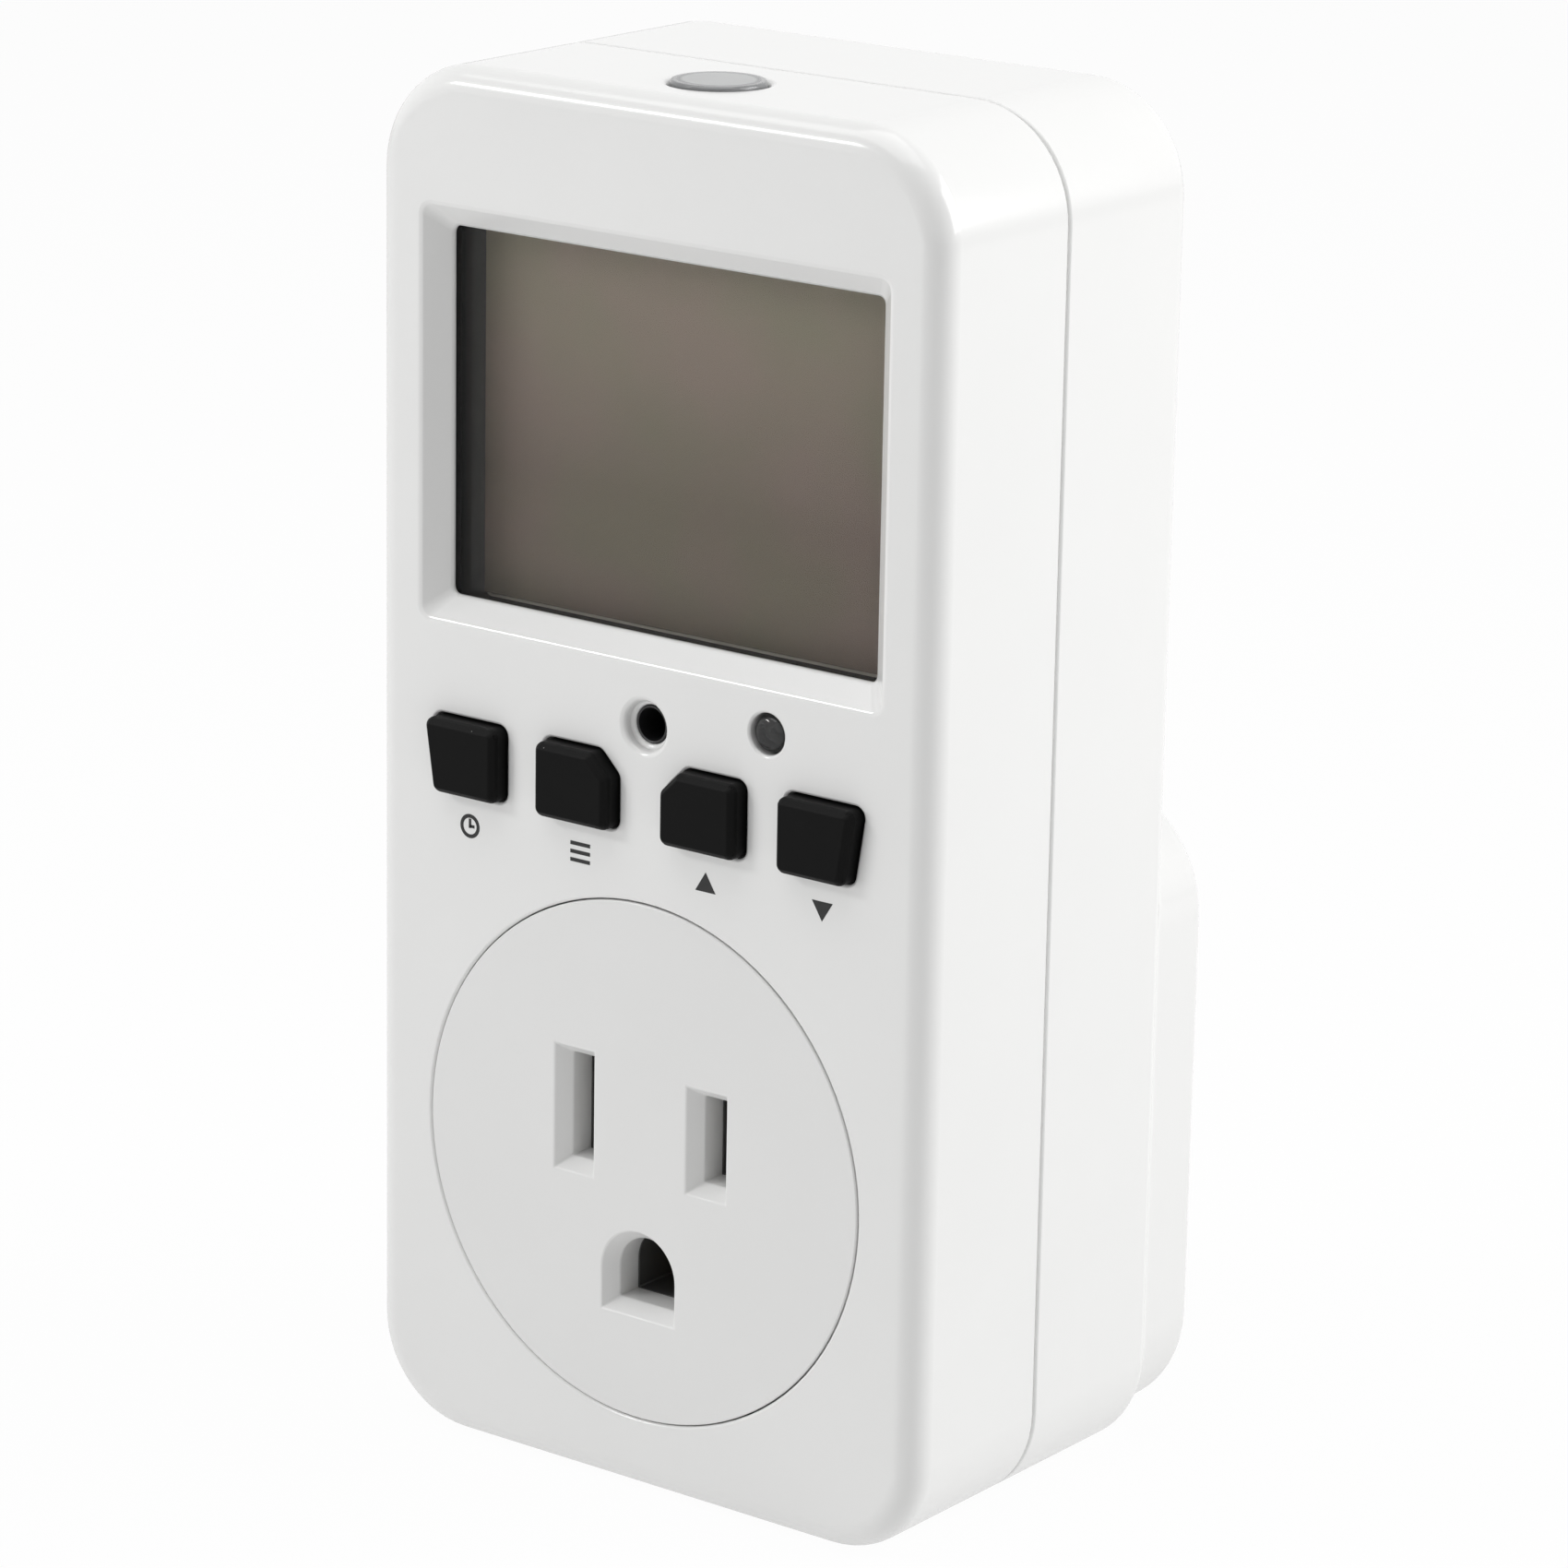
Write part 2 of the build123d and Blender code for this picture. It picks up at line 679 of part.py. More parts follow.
def board_link():
    """Pin header that joins the control board to the power board."""
    half, pitch = link_width / 2, link_width / link_pins
    low, high = link_z - link_strip / 2, link_z + link_strip / 2
    link = span_box(-half, half, board_rear, board_rear + link_strip, low, high)
    link += span_box(-half, half, power_front - link_strip, power_front, low, high)
    for count in range(link_pins):
        x = (count - (link_pins - 1) / 2) * pitch
        link += span_box(x - link_pin / 2, x + link_pin / 2, board_rear, power_front,
                         link_z - link_pin / 2, link_z + link_pin / 2)
    return link


# ---------------------------------------------------------------- outlet
def slot_cut(x, mouth_height, rear):
    """Bevelled mouth and straight throat of one blade slot."""
    mouth = Plane.XZ.offset(-front_face) * Pos(x, 0) * Rectangle(slot_mouth_width, mouth_height)
    throat = Pos(x, 0) * Rectangle(slot_mouth_width - 2 * slot_bevel, mouth_height - 2 * slot_bevel)
    bevel_floor = front_face + slot_bevel_depth
    return loft([mouth, Plane.XZ.offset(-bevel_floor) * throat]) + along_y(throat, bevel_floor, rear)


def ground_shape(inset):
    """Ground hole outline: a round top and a flat floor."""
    radius = ground_mouth_radius - inset
    floor = -ground_mouth_floor + inset
    window = Pos(0, (radius + floor) / 2) * Rectangle(2 * radius, radius - floor)
    lower = Pos(0, floor / 2) * Rectangle(2 * radius, -floor)
    return Pos(0, -ground_drop) * ((Circle(radius) & window) + lower)


def socket_insert():
    """Outlet face: a round disc with the three openings, seated behind the wall by its flange."""
    disc = rod_y(0, outlet_z, outlet_radius, front_face, inner_front)
    disc += rod_y(0, outlet_z, outlet_radius + outlet_flange, inner_front, carrier_front)
    for side in (-1, 1):
        disc += rod_y(side * ear_screw_x, outlet_z, ear_post_radius, carrier_front,
                      carrier_front + ear_post_length)
        disc -= rod_y(side * ear_screw_x, outlet_z, ear_screw_radius + thread_gap, carrier_front,
                      carrier_front + ear_post_length)
    disc -= slot_cut(neutral_x, neutral_mouth_height, carrier_front)
    disc -= slot_cut(line_x, line_mouth_height, carrier_front)
    bevel_floor = front_face + slot_bevel_depth
    mouth = Plane.XZ.offset(-front_face) * ground_shape(0)
    throat = Plane.XZ.offset(-bevel_floor) * ground_shape(slot_bevel)
    disc -= loft([mouth.face(), throat.face()])
    return disc - along_y(ground_shape(slot_bevel), bevel_floor, carrier_front)


def contact_carrier():
    """Insulating block that holds the three outlet contacts, screwed to the outlet disc."""
    block = span_box(-carrier_half, carrier_half, carrier_front, carrier_rear, carrier_bottom, carrier_top)
    block = fillet(block.edges().filter_by(Axis.Y), carrier_wall)
    ear_front = carrier_front + ear_post_length
    ears = span_box(-ear_screw_x - ear_half_height, ear_screw_x + ear_half_height, ear_front,
                    ear_front + ear_thickness, outlet_z - ear_half_height, outlet_z + ear_half_height)
    block += fillet(ears.edges().filter_by(Axis.Y), carrier_wall)
    pocket_half_x = contact_mouth / 2 + contact_leaf + carrier_gap
    pocket_half_z = contact_width / 2 + carrier_gap
    throat = slot_mouth_width / 2 - slot_bevel
    for x, mouth_height in ((neutral_x, neutral_mouth_height), (line_x, line_mouth_height)):
        throat_half_z = mouth_height / 2 - slot_bevel
        block -= span_box(x - throat, x + throat, carrier_front, pocket_front, -throat_half_z, throat_half_z)
        block -= span_box(x - pocket_half_x, x + pocket_half_x, pocket_front, carrier_rear,
                          -pocket_half_z, pocket_half_z)
    for side in (-1, 1):
        block -= rod_y(side * ear_screw_x, outlet_z, ear_screw_radius + fit_gap, ear_front,
                       ear_front + ear_thickness)
    lead_in = carrier_front + contact_length - sleeve_length()
    block -= along_y(ground_shape(slot_bevel), carrier_front, lead_in)
    return block - rod_y(0, -ground_drop, sleeve_radius + sleeve_wall + carrier_gap, lead_in, carrier_rear)


def sleeve_length():
    """Length of the ground sleeve inside the carrier."""
    return contact_length - 2 * contact_mouth


def blade_contact(x, outward):
    """Folded brass clip: two sprung leaves on a base that seats on the carrier's rear face."""
    tip = pocket_front + fit_gap
    pinch = tip + contact_mouth
    outer = contact_mouth / 2 + contact_leaf
    clip = None
    for side in (-1, 1):
        leaf = make_face(Polyline(
            (x + side * (contact_mouth / 2), tip),
            (x + side * outer, tip),
            (x + side * (contact_grip / 2 + contact_leaf), pinch),
            (x + side * outer, carrier_rear),
            (x + side * (outer - contact_leaf), carrier_rear),
            (x + side * (contact_grip / 2), pinch),
            close=True))
        leaf = along_z(leaf, -contact_width / 2, contact_width / 2)
        clip = leaf if clip is None else clip + leaf
    flange = outer + carrier_gap + carrier_wall / 2
    clip += span_box(x - flange, x + flange, carrier_rear, base_rear, -contact_width / 2, contact_width / 2)
    lug_in = x + outward * blade_thickness / 2
    lug_out = lug_in - outward * contact_lug
    clip += span_box(min(lug_in, lug_out), max(lug_in, lug_out), base_rear, tail_rear,
                     -contact_width / 2, contact_width / 2)
    return clip


def ground_contact():
    """Slit brass sleeve with a base and a tail."""
    outer = sleeve_radius + sleeve_wall
    front = carrier_rear - sleeve_length() + fit_gap
    sleeve = rod_y(0, -ground_drop, outer, front, base_rear)
    sleeve -= rod_y(0, -ground_drop, sleeve_radius, front, carrier_rear)
    sleeve -= span_box(-outer, outer, front, carrier_rear - contact_mouth,
                       -ground_drop - sleeve_slit / 2, -ground_drop + sleeve_slit / 2)
    flange = outer + carrier_gap + carrier_wall / 2
    sleeve += rod_y(0, -ground_drop, flange, carrier_rear, base_rear)
    return sleeve + span_box(-contact_lug / 2, contact_lug / 2, base_rear, tail_rear,
                             -ground_drop - contact_width / 2, -ground_drop + contact_width / 2)


def ear_screws(seat, facing):
    """Pair of screws through the ears of a carrier."""
    return Compound([screw(side * ear_screw_x, outlet_z, seat, facing, ear_head_radius, ear_head_height,
                           ear_screw_radius, ear_screw_length) for side in (-1, 1)])


# ---------------------------------------------------------------- plug
def plug_blade(x):
    """Flat blade with a bevelled tip, a round hole, and a shoulder behind the wall."""
    half, width = blade_thickness / 2, blade_width / 2
    blade = span_box(x - half, x + half, root_front, blade_reach, -width, width)
    tip = blade.faces().sort_by(Axis.Y)[-1]
    blade = chamfer(tip.edges().filter_by(Axis.X), blade_bevel)
    tip = blade.faces().sort_by(Axis.Y)[-1]
    blade = chamfer(tip.edges().filter_by(Axis.Z), blade_thickness / 3)
    shoulder = width + blade_shoulder
    blade += span_box(x - half, x + half, -wall - blade_shoulder_depth, -wall, -shoulder, shoulder)
    hole = Plane.YZ.offset(x - half) * Pos(blade_hole_place, 0) * Circle(blade_hole_radius)
    return blade - extrude(hole, amount=blade_thickness)


def ground_pin():
    """Round ground pin with a headed root."""
    pin = rod_y(0, -ground_drop, pin_radius, root_front, pin_reach)
    pin = fillet(pin.edges().sort_by(Axis.Y)[-1], pin_tip_radius)
    pin += rod_y(0, -ground_drop, pin_radius + pin_collar, -wall, 0)
    return pin + rod_y(0, -ground_drop, pin_head_radius, -wall - blade_shoulder_depth, -wall)


def plug_block():
    """Insulating block that traps the shoulders of the blades and pin against the rear wall."""
    half_x = line_x + blade_thickness / 2 + plug_block_wall
    top = blade_width / 2 + blade_shoulder + plug_block_wall
    bottom = -ground_drop - pin_head_radius - plug_block_wall
    front = -wall - plug_block_depth
    block = span_box(-half_x, half_x, front, -wall, bottom, top)
    block = fillet(block.edges().filter_by(Axis.Y), plug_block_wall / 2)
    ear_rear = -wall - plug_ear_post
    ears = span_box(-ear_screw_x - ear_half_height, ear_screw_x + ear_half_height, front, ear_rear,
                    outlet_z - ear_half_height, outlet_z + ear_half_height)
    block += fillet(ears.edges().filter_by(Axis.Y), plug_block_wall / 2)
    shoulder_front = -wall - blade_shoulder_depth - fit_gap
    slack = blade_thickness / 2 + fit_gap
    tall = blade_width / 2 + blade_shoulder + fit_gap
    slim = blade_width / 2 + fit_gap
    for x in (neutral_x, line_x):
        block -= span_box(x - slack, x + slack, front, -wall, -slim, slim)
        block -= span_box(x - slack, x + slack, shoulder_front, -wall, -tall, tall)
    block -= rod_y(0, -ground_drop, pin_radius + fit_gap, front, -wall)
    block -= rod_y(0, -ground_drop, pin_head_radius + fit_gap, shoulder_front, -wall)
    for side in (-1, 1):
        block -= rod_y(side * ear_screw_x, outlet_z, ear_screw_radius + fit_gap, front, ear_rear)
    return block


def side_strap(x, outward, pieces):
    """Flat brass strap beside a blade root, drawn as boxes in Y and Z."""
    near = x + outward * blade_thickness / 2
    far = near + outward * strap_thickness
    strap = None
    for y0, y1, z0, z1 in pieces:
        piece = span_box(min(near, far), max(near, far), y0, y1, z0, z1)
        strap = piece if strap is None else strap + piece
    return strap


strap_top = power_bottom + strap_board_lap
strap_half = contact_width / 2


def neutral_strap():
    """Neutral strap: contact to blade root, with a leg up to the power board."""
    return side_strap(neutral_x, -1, [
        (base_rear, power_front, -strap_half, strap_half),
        (power_front - strap_width, power_front, -strap_half, strap_top)])


def line_in_strap():
    """Line strap from the blade root up to the power board."""
    return side_strap(line_x, 1, [(power_front - strap_width, power_front, -strap_half, strap_top)])


def line_out_strap():
    """Line strap from the power board down to the outlet contact."""
    return side_strap(line_x, -1, [
        (base_rear, tail_rear - contact_base, -strap_half, strap_top),
        (base_rear, power_front, power_bottom, strap_top)])


def ground_strap():
    """Ground strap between the sleeve's tail and the head of the pin."""
    near = contact_lug / 2
    return span_box(near, near + strap_thickness, base_rear, root_front,
                    -ground_drop - strap_half, -ground_drop + strap_half)


# ---------------------------------------------------------------- rear of the case
def rear_shell():
    """Rear half of the case with its plug boss, seam lip, screw columns and standoffs."""
    body = along_y(case_outline(0), seam, rear_face)
    body = fillet(body.faces().sort_by(Axis.Y)[-1].edges(), rear_edge_radius)
    boss = along_y(boss_outline(0), rear_face - rear_edge_radius, 0)
    boss = fillet(boss.faces().sort_by(Axis.Y)[-1].edges(), boss_edge_radius)
    shell = body + boss
    shell = fillet(new_edges(body, boss, combined=shell), boss_blend_radius)
    shell -= along_y(case_outline(wall), seam, inner_rear)
    shell -= along_y(boss_outline(wall), inner_rear, -wall)
    lip = case_outline(wall - lip_thickness) - case_outline(wall)
    shell += along_y(lip, front_rim - lip_depth, seam + wall)
    for x, z in screw_spots_top:
        shell += rod_y(x, z, case_column_radius, seam, inner_rear)
    for x, z in screw_spots_bottom:
        shell += rod_y(x, z, case_column_radius, seam, -wall)
    for x, z in case_screw_spots:
        shell -= rod_y(x, z, case_bore_radius, case_screw_seat, 0)
        shell -= rod_y(x, z, case_screw_radius + fit_gap, seam, case_screw_seat)
    for x, z in power_screw_spots:
        shell += rod_y(x, z, power_standoff_radius, power_rear, inner_rear)
        shell -= rod_y(x, z, board_screw_radius + thread_gap, power_rear, inner_rear + wall / 2)
    for side in (-1, 1):
        post_front = -wall - plug_ear_post
        shell += rod_y(side * ear_screw_x, outlet_z, ear_post_radius, post_front, -wall)
        shell -= rod_y(side * ear_screw_x, outlet_z, ear_screw_radius + thread_gap, post_front, -wall / 2)
    for x in (neutral_x, line_x):
        slack = blade_thickness / 2 + fit_gap
        slim = blade_width / 2 + fit_gap
        shell -= span_box(x - slack, x + slack, -wall, 0, -slim, slim)
    return shell - rod_y(0, -ground_drop, pin_radius + pin_collar + fit_gap, -wall, 0)


def case_screws():
    """Four screws, their heads deep in the rear shell."""
    return Compound([screw(x, z, case_screw_seat, 1, case_head_radius, case_head_height,
                           case_screw_radius, case_screw_length) for x, z in case_screw_spots])


# ---------------------------------------------------------------- power board
def power_board():
    """Circuit board near the rear wall, on four standoffs."""
    sheet = rounded(board_half, power_bottom, power_top, key_corner_radius)
    for x, z in power_screw_spots:
        sheet -= Pos(x, z) * Circle(board_screw_radius + fit_gap)
    return along_y(sheet, power_front, power_rear)


def power_board_screws():
    """Four small screws that hold the power board to its standoffs."""
    return Compound([screw(x, z, power_front, -1, board_head_radius, board_head_height,
                           board_screw_radius, power_screw_length) for x, z in power_screw_spots])


relay_right = fuse_x - fuse_radius - relay_fuse_gap
relay_left = relay_right - relay_length
relay_floor = power_front - relay_base
relay_roof = board_rear + relay_board_gap
room_left = relay_left + relay_cover_wall + relay_gap
yoke_left = room_left + armature_lift
coil_x = yoke_left + coil_place
armature_rear = relay_roof + relay_cover_wall + 2 * relay_gap + armature_thickness
yoke_front = armature_rear + armature_lift
core_front = armature_rear + core_gap
armature_left = yoke_left
armature_right = armature_left + armature_length
spring_left = armature_right - spring_lap
spring_right = spring_left + spring_length
contact_x = spring_right - contact_radius
moving_contact_rear = armature_rear + spring_thickness + contact_height
fixed_contact_front = moving_contact_rear + contact_open


def relay_body_box(y0, y1, inset):
    """Box of the relay's outline, drawn in by inset."""
    return span_box(relay_left + inset, relay_right - inset, y0, y1,
                    relay_z - relay_width / 2 + inset, relay_z + relay_width / 2 - inset)


def relay_base_plate():
    """Moulded base of the relay."""
    return relay_body_box(relay_floor, power_front, 0)


def relay_cover():
    """Thin cover over the relay."""
    cover = relay_body_box(relay_roof, relay_floor, 0)
    cover = fillet(cover.faces().sort_by(Axis.Y)[0].edges(), relay_cover_wall / 2)
    return cover - relay_body_box(relay_roof + relay_cover_wall, relay_floor, relay_cover_wall)


def relay_yoke():
    """Iron frame: an upright beside the coil, a foot under it, and the core through it."""
    half = yoke_width / 2
    upright = span_box(yoke_left, yoke_left + yoke_thickness, yoke_front, relay_floor,
                       relay_z - half, relay_z + half)
    foot_right = coil_x + coil_core_radius + yoke_thickness
    foot = span_box(yoke_left, foot_right, relay_floor - yoke_thickness, relay_floor,
                    relay_z - half, relay_z + half)
    return upright + foot + rod_y(coil_x, relay_z, coil_core_radius, core_front, relay_floor)


def relay_bobbin():
    """Plastic bobbin on the core, with a flange at each end."""
    bore = coil_core_radius + fit_gap / 3
    tube = bore + coil_flange
    front = core_front + bobbin_drop
    rear = relay_floor - yoke_thickness
    bobbin = rod_y(coil_x, relay_z, tube, front, rear)
    bobbin += rod_y(coil_x, relay_z, coil_radius, front, front + coil_flange)
    bobbin += rod_y(coil_x, relay_z, coil_radius, rear - coil_flange, rear)
    return bobbin - rod_y(coil_x, relay_z, bore, front, rear)


def relay_coil():
    """Copper winding between the bobbin's flanges."""
    inner = coil_core_radius + fit_gap / 3 + coil_flange
    front = core_front + bobbin_drop + coil_flange
    rear = relay_floor - yoke_thickness - coil_flange
    outer = coil_radius - relay_gap
    return rod_y(coil_x, relay_z, outer, front, rear) - rod_y(coil_x, relay_z, inner, front, rear)


def relay_armature():
    """Iron flap that rocks on the end of the yoke when the coil pulls."""
    half = yoke_width / 2
    flap = span_box(armature_left, armature_right, armature_rear - armature_thickness, armature_rear,
                    relay_z - half, relay_z + half)
    return fillet(flap.edges().filter_by(Axis.Y), armature_thickness / 2)


def relay_spring():
    """Spring strip under the armature, with the moving contact at its free end."""
    half = spring_width / 2
    strip = span_box(spring_left, spring_right, armature_rear, armature_rear + spring_thickness,
                     relay_z - half, relay_z + half)
    tip = armature_rear + spring_thickness
    return strip + rod_y(contact_x, relay_z, contact_radius, tip, moving_contact_rear)


def relay_fixed_contact():
    """Fixed contact on its post in the relay base."""
    half = spring_width / 2
    shelf = fixed_contact_front + contact_height
    post = rod_y(contact_x, relay_z, contact_radius, fixed_contact_front, shelf)
    post += span_box(contact_x - contact_radius, contact_x + contact_radius + relay_post_thickness,
                     shelf, shelf + relay_post_thickness, relay_z - half, relay_z + half)
    return post + span_box(contact_x + contact_radius, contact_x + contact_radius + relay_post_thickness,
                           shelf, relay_floor, relay_z - half, relay_z + half)


def film_capacitor():
    """Boxed film capacitor that drops the mains voltage."""
    box = span_box(film_x - film_length / 2, film_x + film_length / 2, power_front - tall_height, power_front,
                   tall_row_z - film_width / 2, tall_row_z + film_width / 2)
    return fillet(box.faces().sort_by(Axis.Y)[0].edges(), film_width / 14)


def filter_capacitor():
    """Round can of the filter capacitor."""
    can = rod_y(can_x, tall_row_z, can_radius, power_front - tall_height, power_front)
    can = fillet(can.edges().sort_by(Axis.Y)[0], can_radius / 8)
    return can


def surge_varistor():
    """Disc across the mains that clips surges, on two legs."""
    centre = power_front - varistor_leg - varistor_radius
    disc = along_x(Pos(centre, tall_row_z) * Circle(varistor_radius), varistor_x - varistor_thickness / 2,
                   varistor_x + varistor_thickness / 2)
    disc = fillet(disc.edges(), varistor_thickness / 4)
    for side in (-1, 1):
        disc += rod_y(varistor_x, tall_row_z + side * varistor_radius / 2, lead_radius, centre, power_front)
    return disc


def fuse():
    """Round fuse in the line."""
    body = rod_y(fuse_x, relay_z, fuse_radius, power_front - fuse_height, power_front)
    return fillet(body.edges().sort_by(Axis.Y)[0], fuse_radius / 6)


def rectifier():
    """Bridge rectifier, standing flat on the board."""
    box = span_box(rectifier_x - rectifier_width / 2, rectifier_x + rectifier_width / 2,
                   power_front - rectifier_thickness, power_front,
                   low_row_z - rectifier_height / 2, low_row_z + rectifier_height / 2)
    return chamfer(box.faces().sort_by(Axis.Y)[0].edges(), rectifier_thickness / 8)


# ---------------------------------------------------------------- every node
parts = {
    "front_shell": front_shell(),
    "rear_shell": rear_shell(),
    "case_screws": case_screws(),
    "socket_insert": socket_insert(),
    "contact_carrier": contact_carrier(),
    "carrier_screws": ear_screws(carrier_front + ear_post_length + ear_thickness, 1),
    "neutral_contact": blade_contact(neutral_x, -1),
    "line_contact": blade_contact(line_x, -1),
    "ground_contact": ground_contact(),
    "neutral_blade": plug_blade(neutral_x),
    "line_blade": plug_blade(line_x),
    "ground_pin": ground_pin(),
    "plug_block": plug_block(),
    "plug_block_screws": ear_screws(-wall - plug_block_depth, -1),
    "neutral_strap": neutral_strap(),
    "line_in_strap": line_in_strap(),
    "line_out_strap": line_out_strap(),
    "ground_strap": ground_strap(),
    "lcd_window": lcd_window(),
    "lcd_gasket": lcd_gasket(),
    "lcd_panel": lcd_panel(),
    "lcd_holder": lcd_holder(),
    "zebra_strips": zebra_strips(),
    "keypad_mat": keypad_mat(),
    "status_led": status_led(),
    "probe_jack": probe_jack(),
    "night_light_lens": night_light_lens(),
    "night_light_led": night_light_led(),
    "control_board": control_board(),
    "board_screws": board_screws(),
    "controller_chip": controller_chip(),
    "clock_crystal": clock_crystal(),
    "backup_cell": backup_cell(),
    "battery_clip": battery_clip(),
    "board_link": board_link(),
    "power_board": power_board(),
    "power_board_screws": power_board_screws(),
    "relay_base": relay_base_plate(),
    "relay_cover": relay_cover(),
    "relay_yoke": relay_yoke(),
    "relay_bobbin": relay_bobbin(),
    "relay_coil": relay_coil(),
    "relay_armature": relay_armature(),
    "relay_spring": relay_spring(),
    "relay_fixed_contact": relay_fixed_contact(),
    "film_capacitor": film_capacitor(),
    "filter_capacitor": filter_capacitor(),
    "surge_varistor": surge_varistor(),
    "fuse": fuse(),
    "rectifier": rectifier(),
}
for name, (side, outer) in keys.items():
    parts[name] = key(side, outer)
    parts[name.replace("key", "pill")] = key_pill(side, outer)

os.makedirs("parts", exist_ok=True)
for name, shape in parts.items():
    export_step(shape, f"parts/{name}.step")
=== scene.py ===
from math import cos, pi, radians, sin, tau

import bmesh
import bpy
from mathutils import Matrix, Vector


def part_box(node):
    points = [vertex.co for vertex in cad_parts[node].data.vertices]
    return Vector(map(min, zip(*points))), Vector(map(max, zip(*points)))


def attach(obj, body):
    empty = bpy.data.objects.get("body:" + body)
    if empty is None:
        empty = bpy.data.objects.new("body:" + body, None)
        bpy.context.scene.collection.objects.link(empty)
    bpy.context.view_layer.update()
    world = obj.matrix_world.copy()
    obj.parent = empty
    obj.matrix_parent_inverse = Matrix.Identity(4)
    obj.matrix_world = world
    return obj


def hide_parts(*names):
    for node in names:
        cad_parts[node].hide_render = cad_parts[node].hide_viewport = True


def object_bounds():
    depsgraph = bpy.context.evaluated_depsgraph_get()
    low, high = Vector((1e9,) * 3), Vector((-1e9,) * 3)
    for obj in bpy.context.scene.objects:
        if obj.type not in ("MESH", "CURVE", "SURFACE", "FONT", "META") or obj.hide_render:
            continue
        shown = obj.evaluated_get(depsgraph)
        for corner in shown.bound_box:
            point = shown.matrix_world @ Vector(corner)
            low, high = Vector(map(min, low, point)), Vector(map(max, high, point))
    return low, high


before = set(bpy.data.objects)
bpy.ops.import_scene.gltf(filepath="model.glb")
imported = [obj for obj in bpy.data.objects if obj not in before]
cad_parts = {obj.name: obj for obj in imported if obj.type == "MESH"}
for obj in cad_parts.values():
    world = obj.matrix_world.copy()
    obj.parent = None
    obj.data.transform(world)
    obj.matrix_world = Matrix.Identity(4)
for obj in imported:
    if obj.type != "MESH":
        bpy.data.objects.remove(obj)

cad_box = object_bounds()
mm = 0.001


# ------------------------------------------------------------------------------------------------
# Front half of the case. White ABS, injection moulded in one piece with its screw posts, in a
# polished steel tool. Four screws from behind clamp it to the rear half.
def linear(code):
    """A #rrggbb colour as the linear numbers that a shader takes."""
    shares = [int(code[at:at + 2], 16) / 255 for at in (1, 3, 5)]
    return (*[s / 12.92 if s <= 0.04045 else ((s + 0.055) / 1.055) ** 2.4 for s in shares], 1)


def add_node(tree, kind, settings=None, values=None, links=None):
    """Adds a node with its settings, its fixed inputs and the sockets that feed it."""
    node = tree.nodes.new(kind)
    for name, value in (settings or {}).items():
        setattr(node, name, value)
    for name, value in (values or {}).items():
        node.inputs[name].default_value = value
    feed(node, links or {})
    return node


def feed(node, links):
    """Links each socket to the node's input of that name."""
    for name, socket in links.items():
        node.id_data.links.new(socket, node.inputs[name])


def new_finish(name, shader):
    """A material with these numbers on its shader: it, its tree, the shader and coordinates."""
    finish = bpy.data.materials.new(name)
    finish.use_nodes = True
    tree = finish.node_tree
    surface = tree.nodes["Principled BSDF"]
    for socket, value in shader.items():
        surface.inputs[socket].default_value = value
    place = add_node(tree, "ShaderNodeTexCoord").outputs["Object"]
    return finish, tree, surface, place


def two_shades(name, shader, light, dark, patch, detail, gloss=None):
    """A material that drifts between two shades, and two roughnesses, in patches of a real size."""
    finish, tree, surface, place = new_finish(name, shader)
    drift = add_node(tree, "ShaderNodeTexNoise", values={"Scale": 1 / patch, "Detail": detail},
                     links={"Vector": place})
    shade = add_node(tree, "ShaderNodeMix", {"data_type": "RGBA"},
                     {6: linear(light), 7: linear(dark)}, {0: drift.outputs["Fac"]})
    feed(surface, {"Base Color": shade.outputs[2]})
    if gloss:
        sheen = add_node(tree, "ShaderNodeMapRange",
                         values={"To Min": gloss[0], "To Max": gloss[1]},
                         links={"Value": drift.outputs["Fac"]})
        feed(surface, {"Roughness": sheen.outputs["Result"]})
    return finish, tree, surface, place


def grained(tree, surface, place, grain, detail, strength, relief):
    """Raises a fine uneven grain of a real size and height on a finish."""
    fine = add_node(tree, "ShaderNodeTexNoise", values={"Scale": 1 / grain, "Detail": detail},
                    links={"Vector": place})
    bump = add_node(tree, "ShaderNodeBump", values={"Strength": strength, "Distance": relief},
                    links={"Height": fine.outputs["Fac"]})
    feed(surface, {"Normal": bump.outputs["Normal"]})


def moulded(name, light, dark, roughness, grain, relief, ior):
    """Moulded plastic: a faint drift of shade and gloss, and the fine grain of the tool's face."""
    finish, tree, surface, place = two_shades(name, {"IOR": ior}, light, dark, 12 * mm, 3,
                                              (roughness - 0.05, roughness + 0.05))
    grained(tree, surface, place, grain, 4, 0.5, relief)
    return finish


sharp = radians(32)                 # an edge that turns by more than this is a real one


def smoothed(grid):
    """Shades all but the sharp edges smooth."""
    for face in grid.faces:
        face.smooth = True
    for line in grid.edges:
        line.smooth = line.calc_face_angle(pi) < sharp


def as_mesh(name, grid):
    """Ends work on a grid of faces: its mesh."""
    mesh = bpy.data.meshes.new(name)
    grid.to_mesh(mesh)
    grid.free()
    return mesh


def put(name, data):
    """A new object in the scene."""
    thing = bpy.data.objects.new(name, data)
    bpy.context.scene.collection.objects.link(thing)
    return thing


def applied(worker):
    """Plain mesh of an object with its modifiers on; the object itself goes."""
    bpy.context.view_layer.update()
    graph = bpy.context.evaluated_depsgraph_get()
    mesh = bpy.data.meshes.new_from_object(worker.evaluated_get(graph))
    bpy.data.objects.remove(worker)
    return mesh


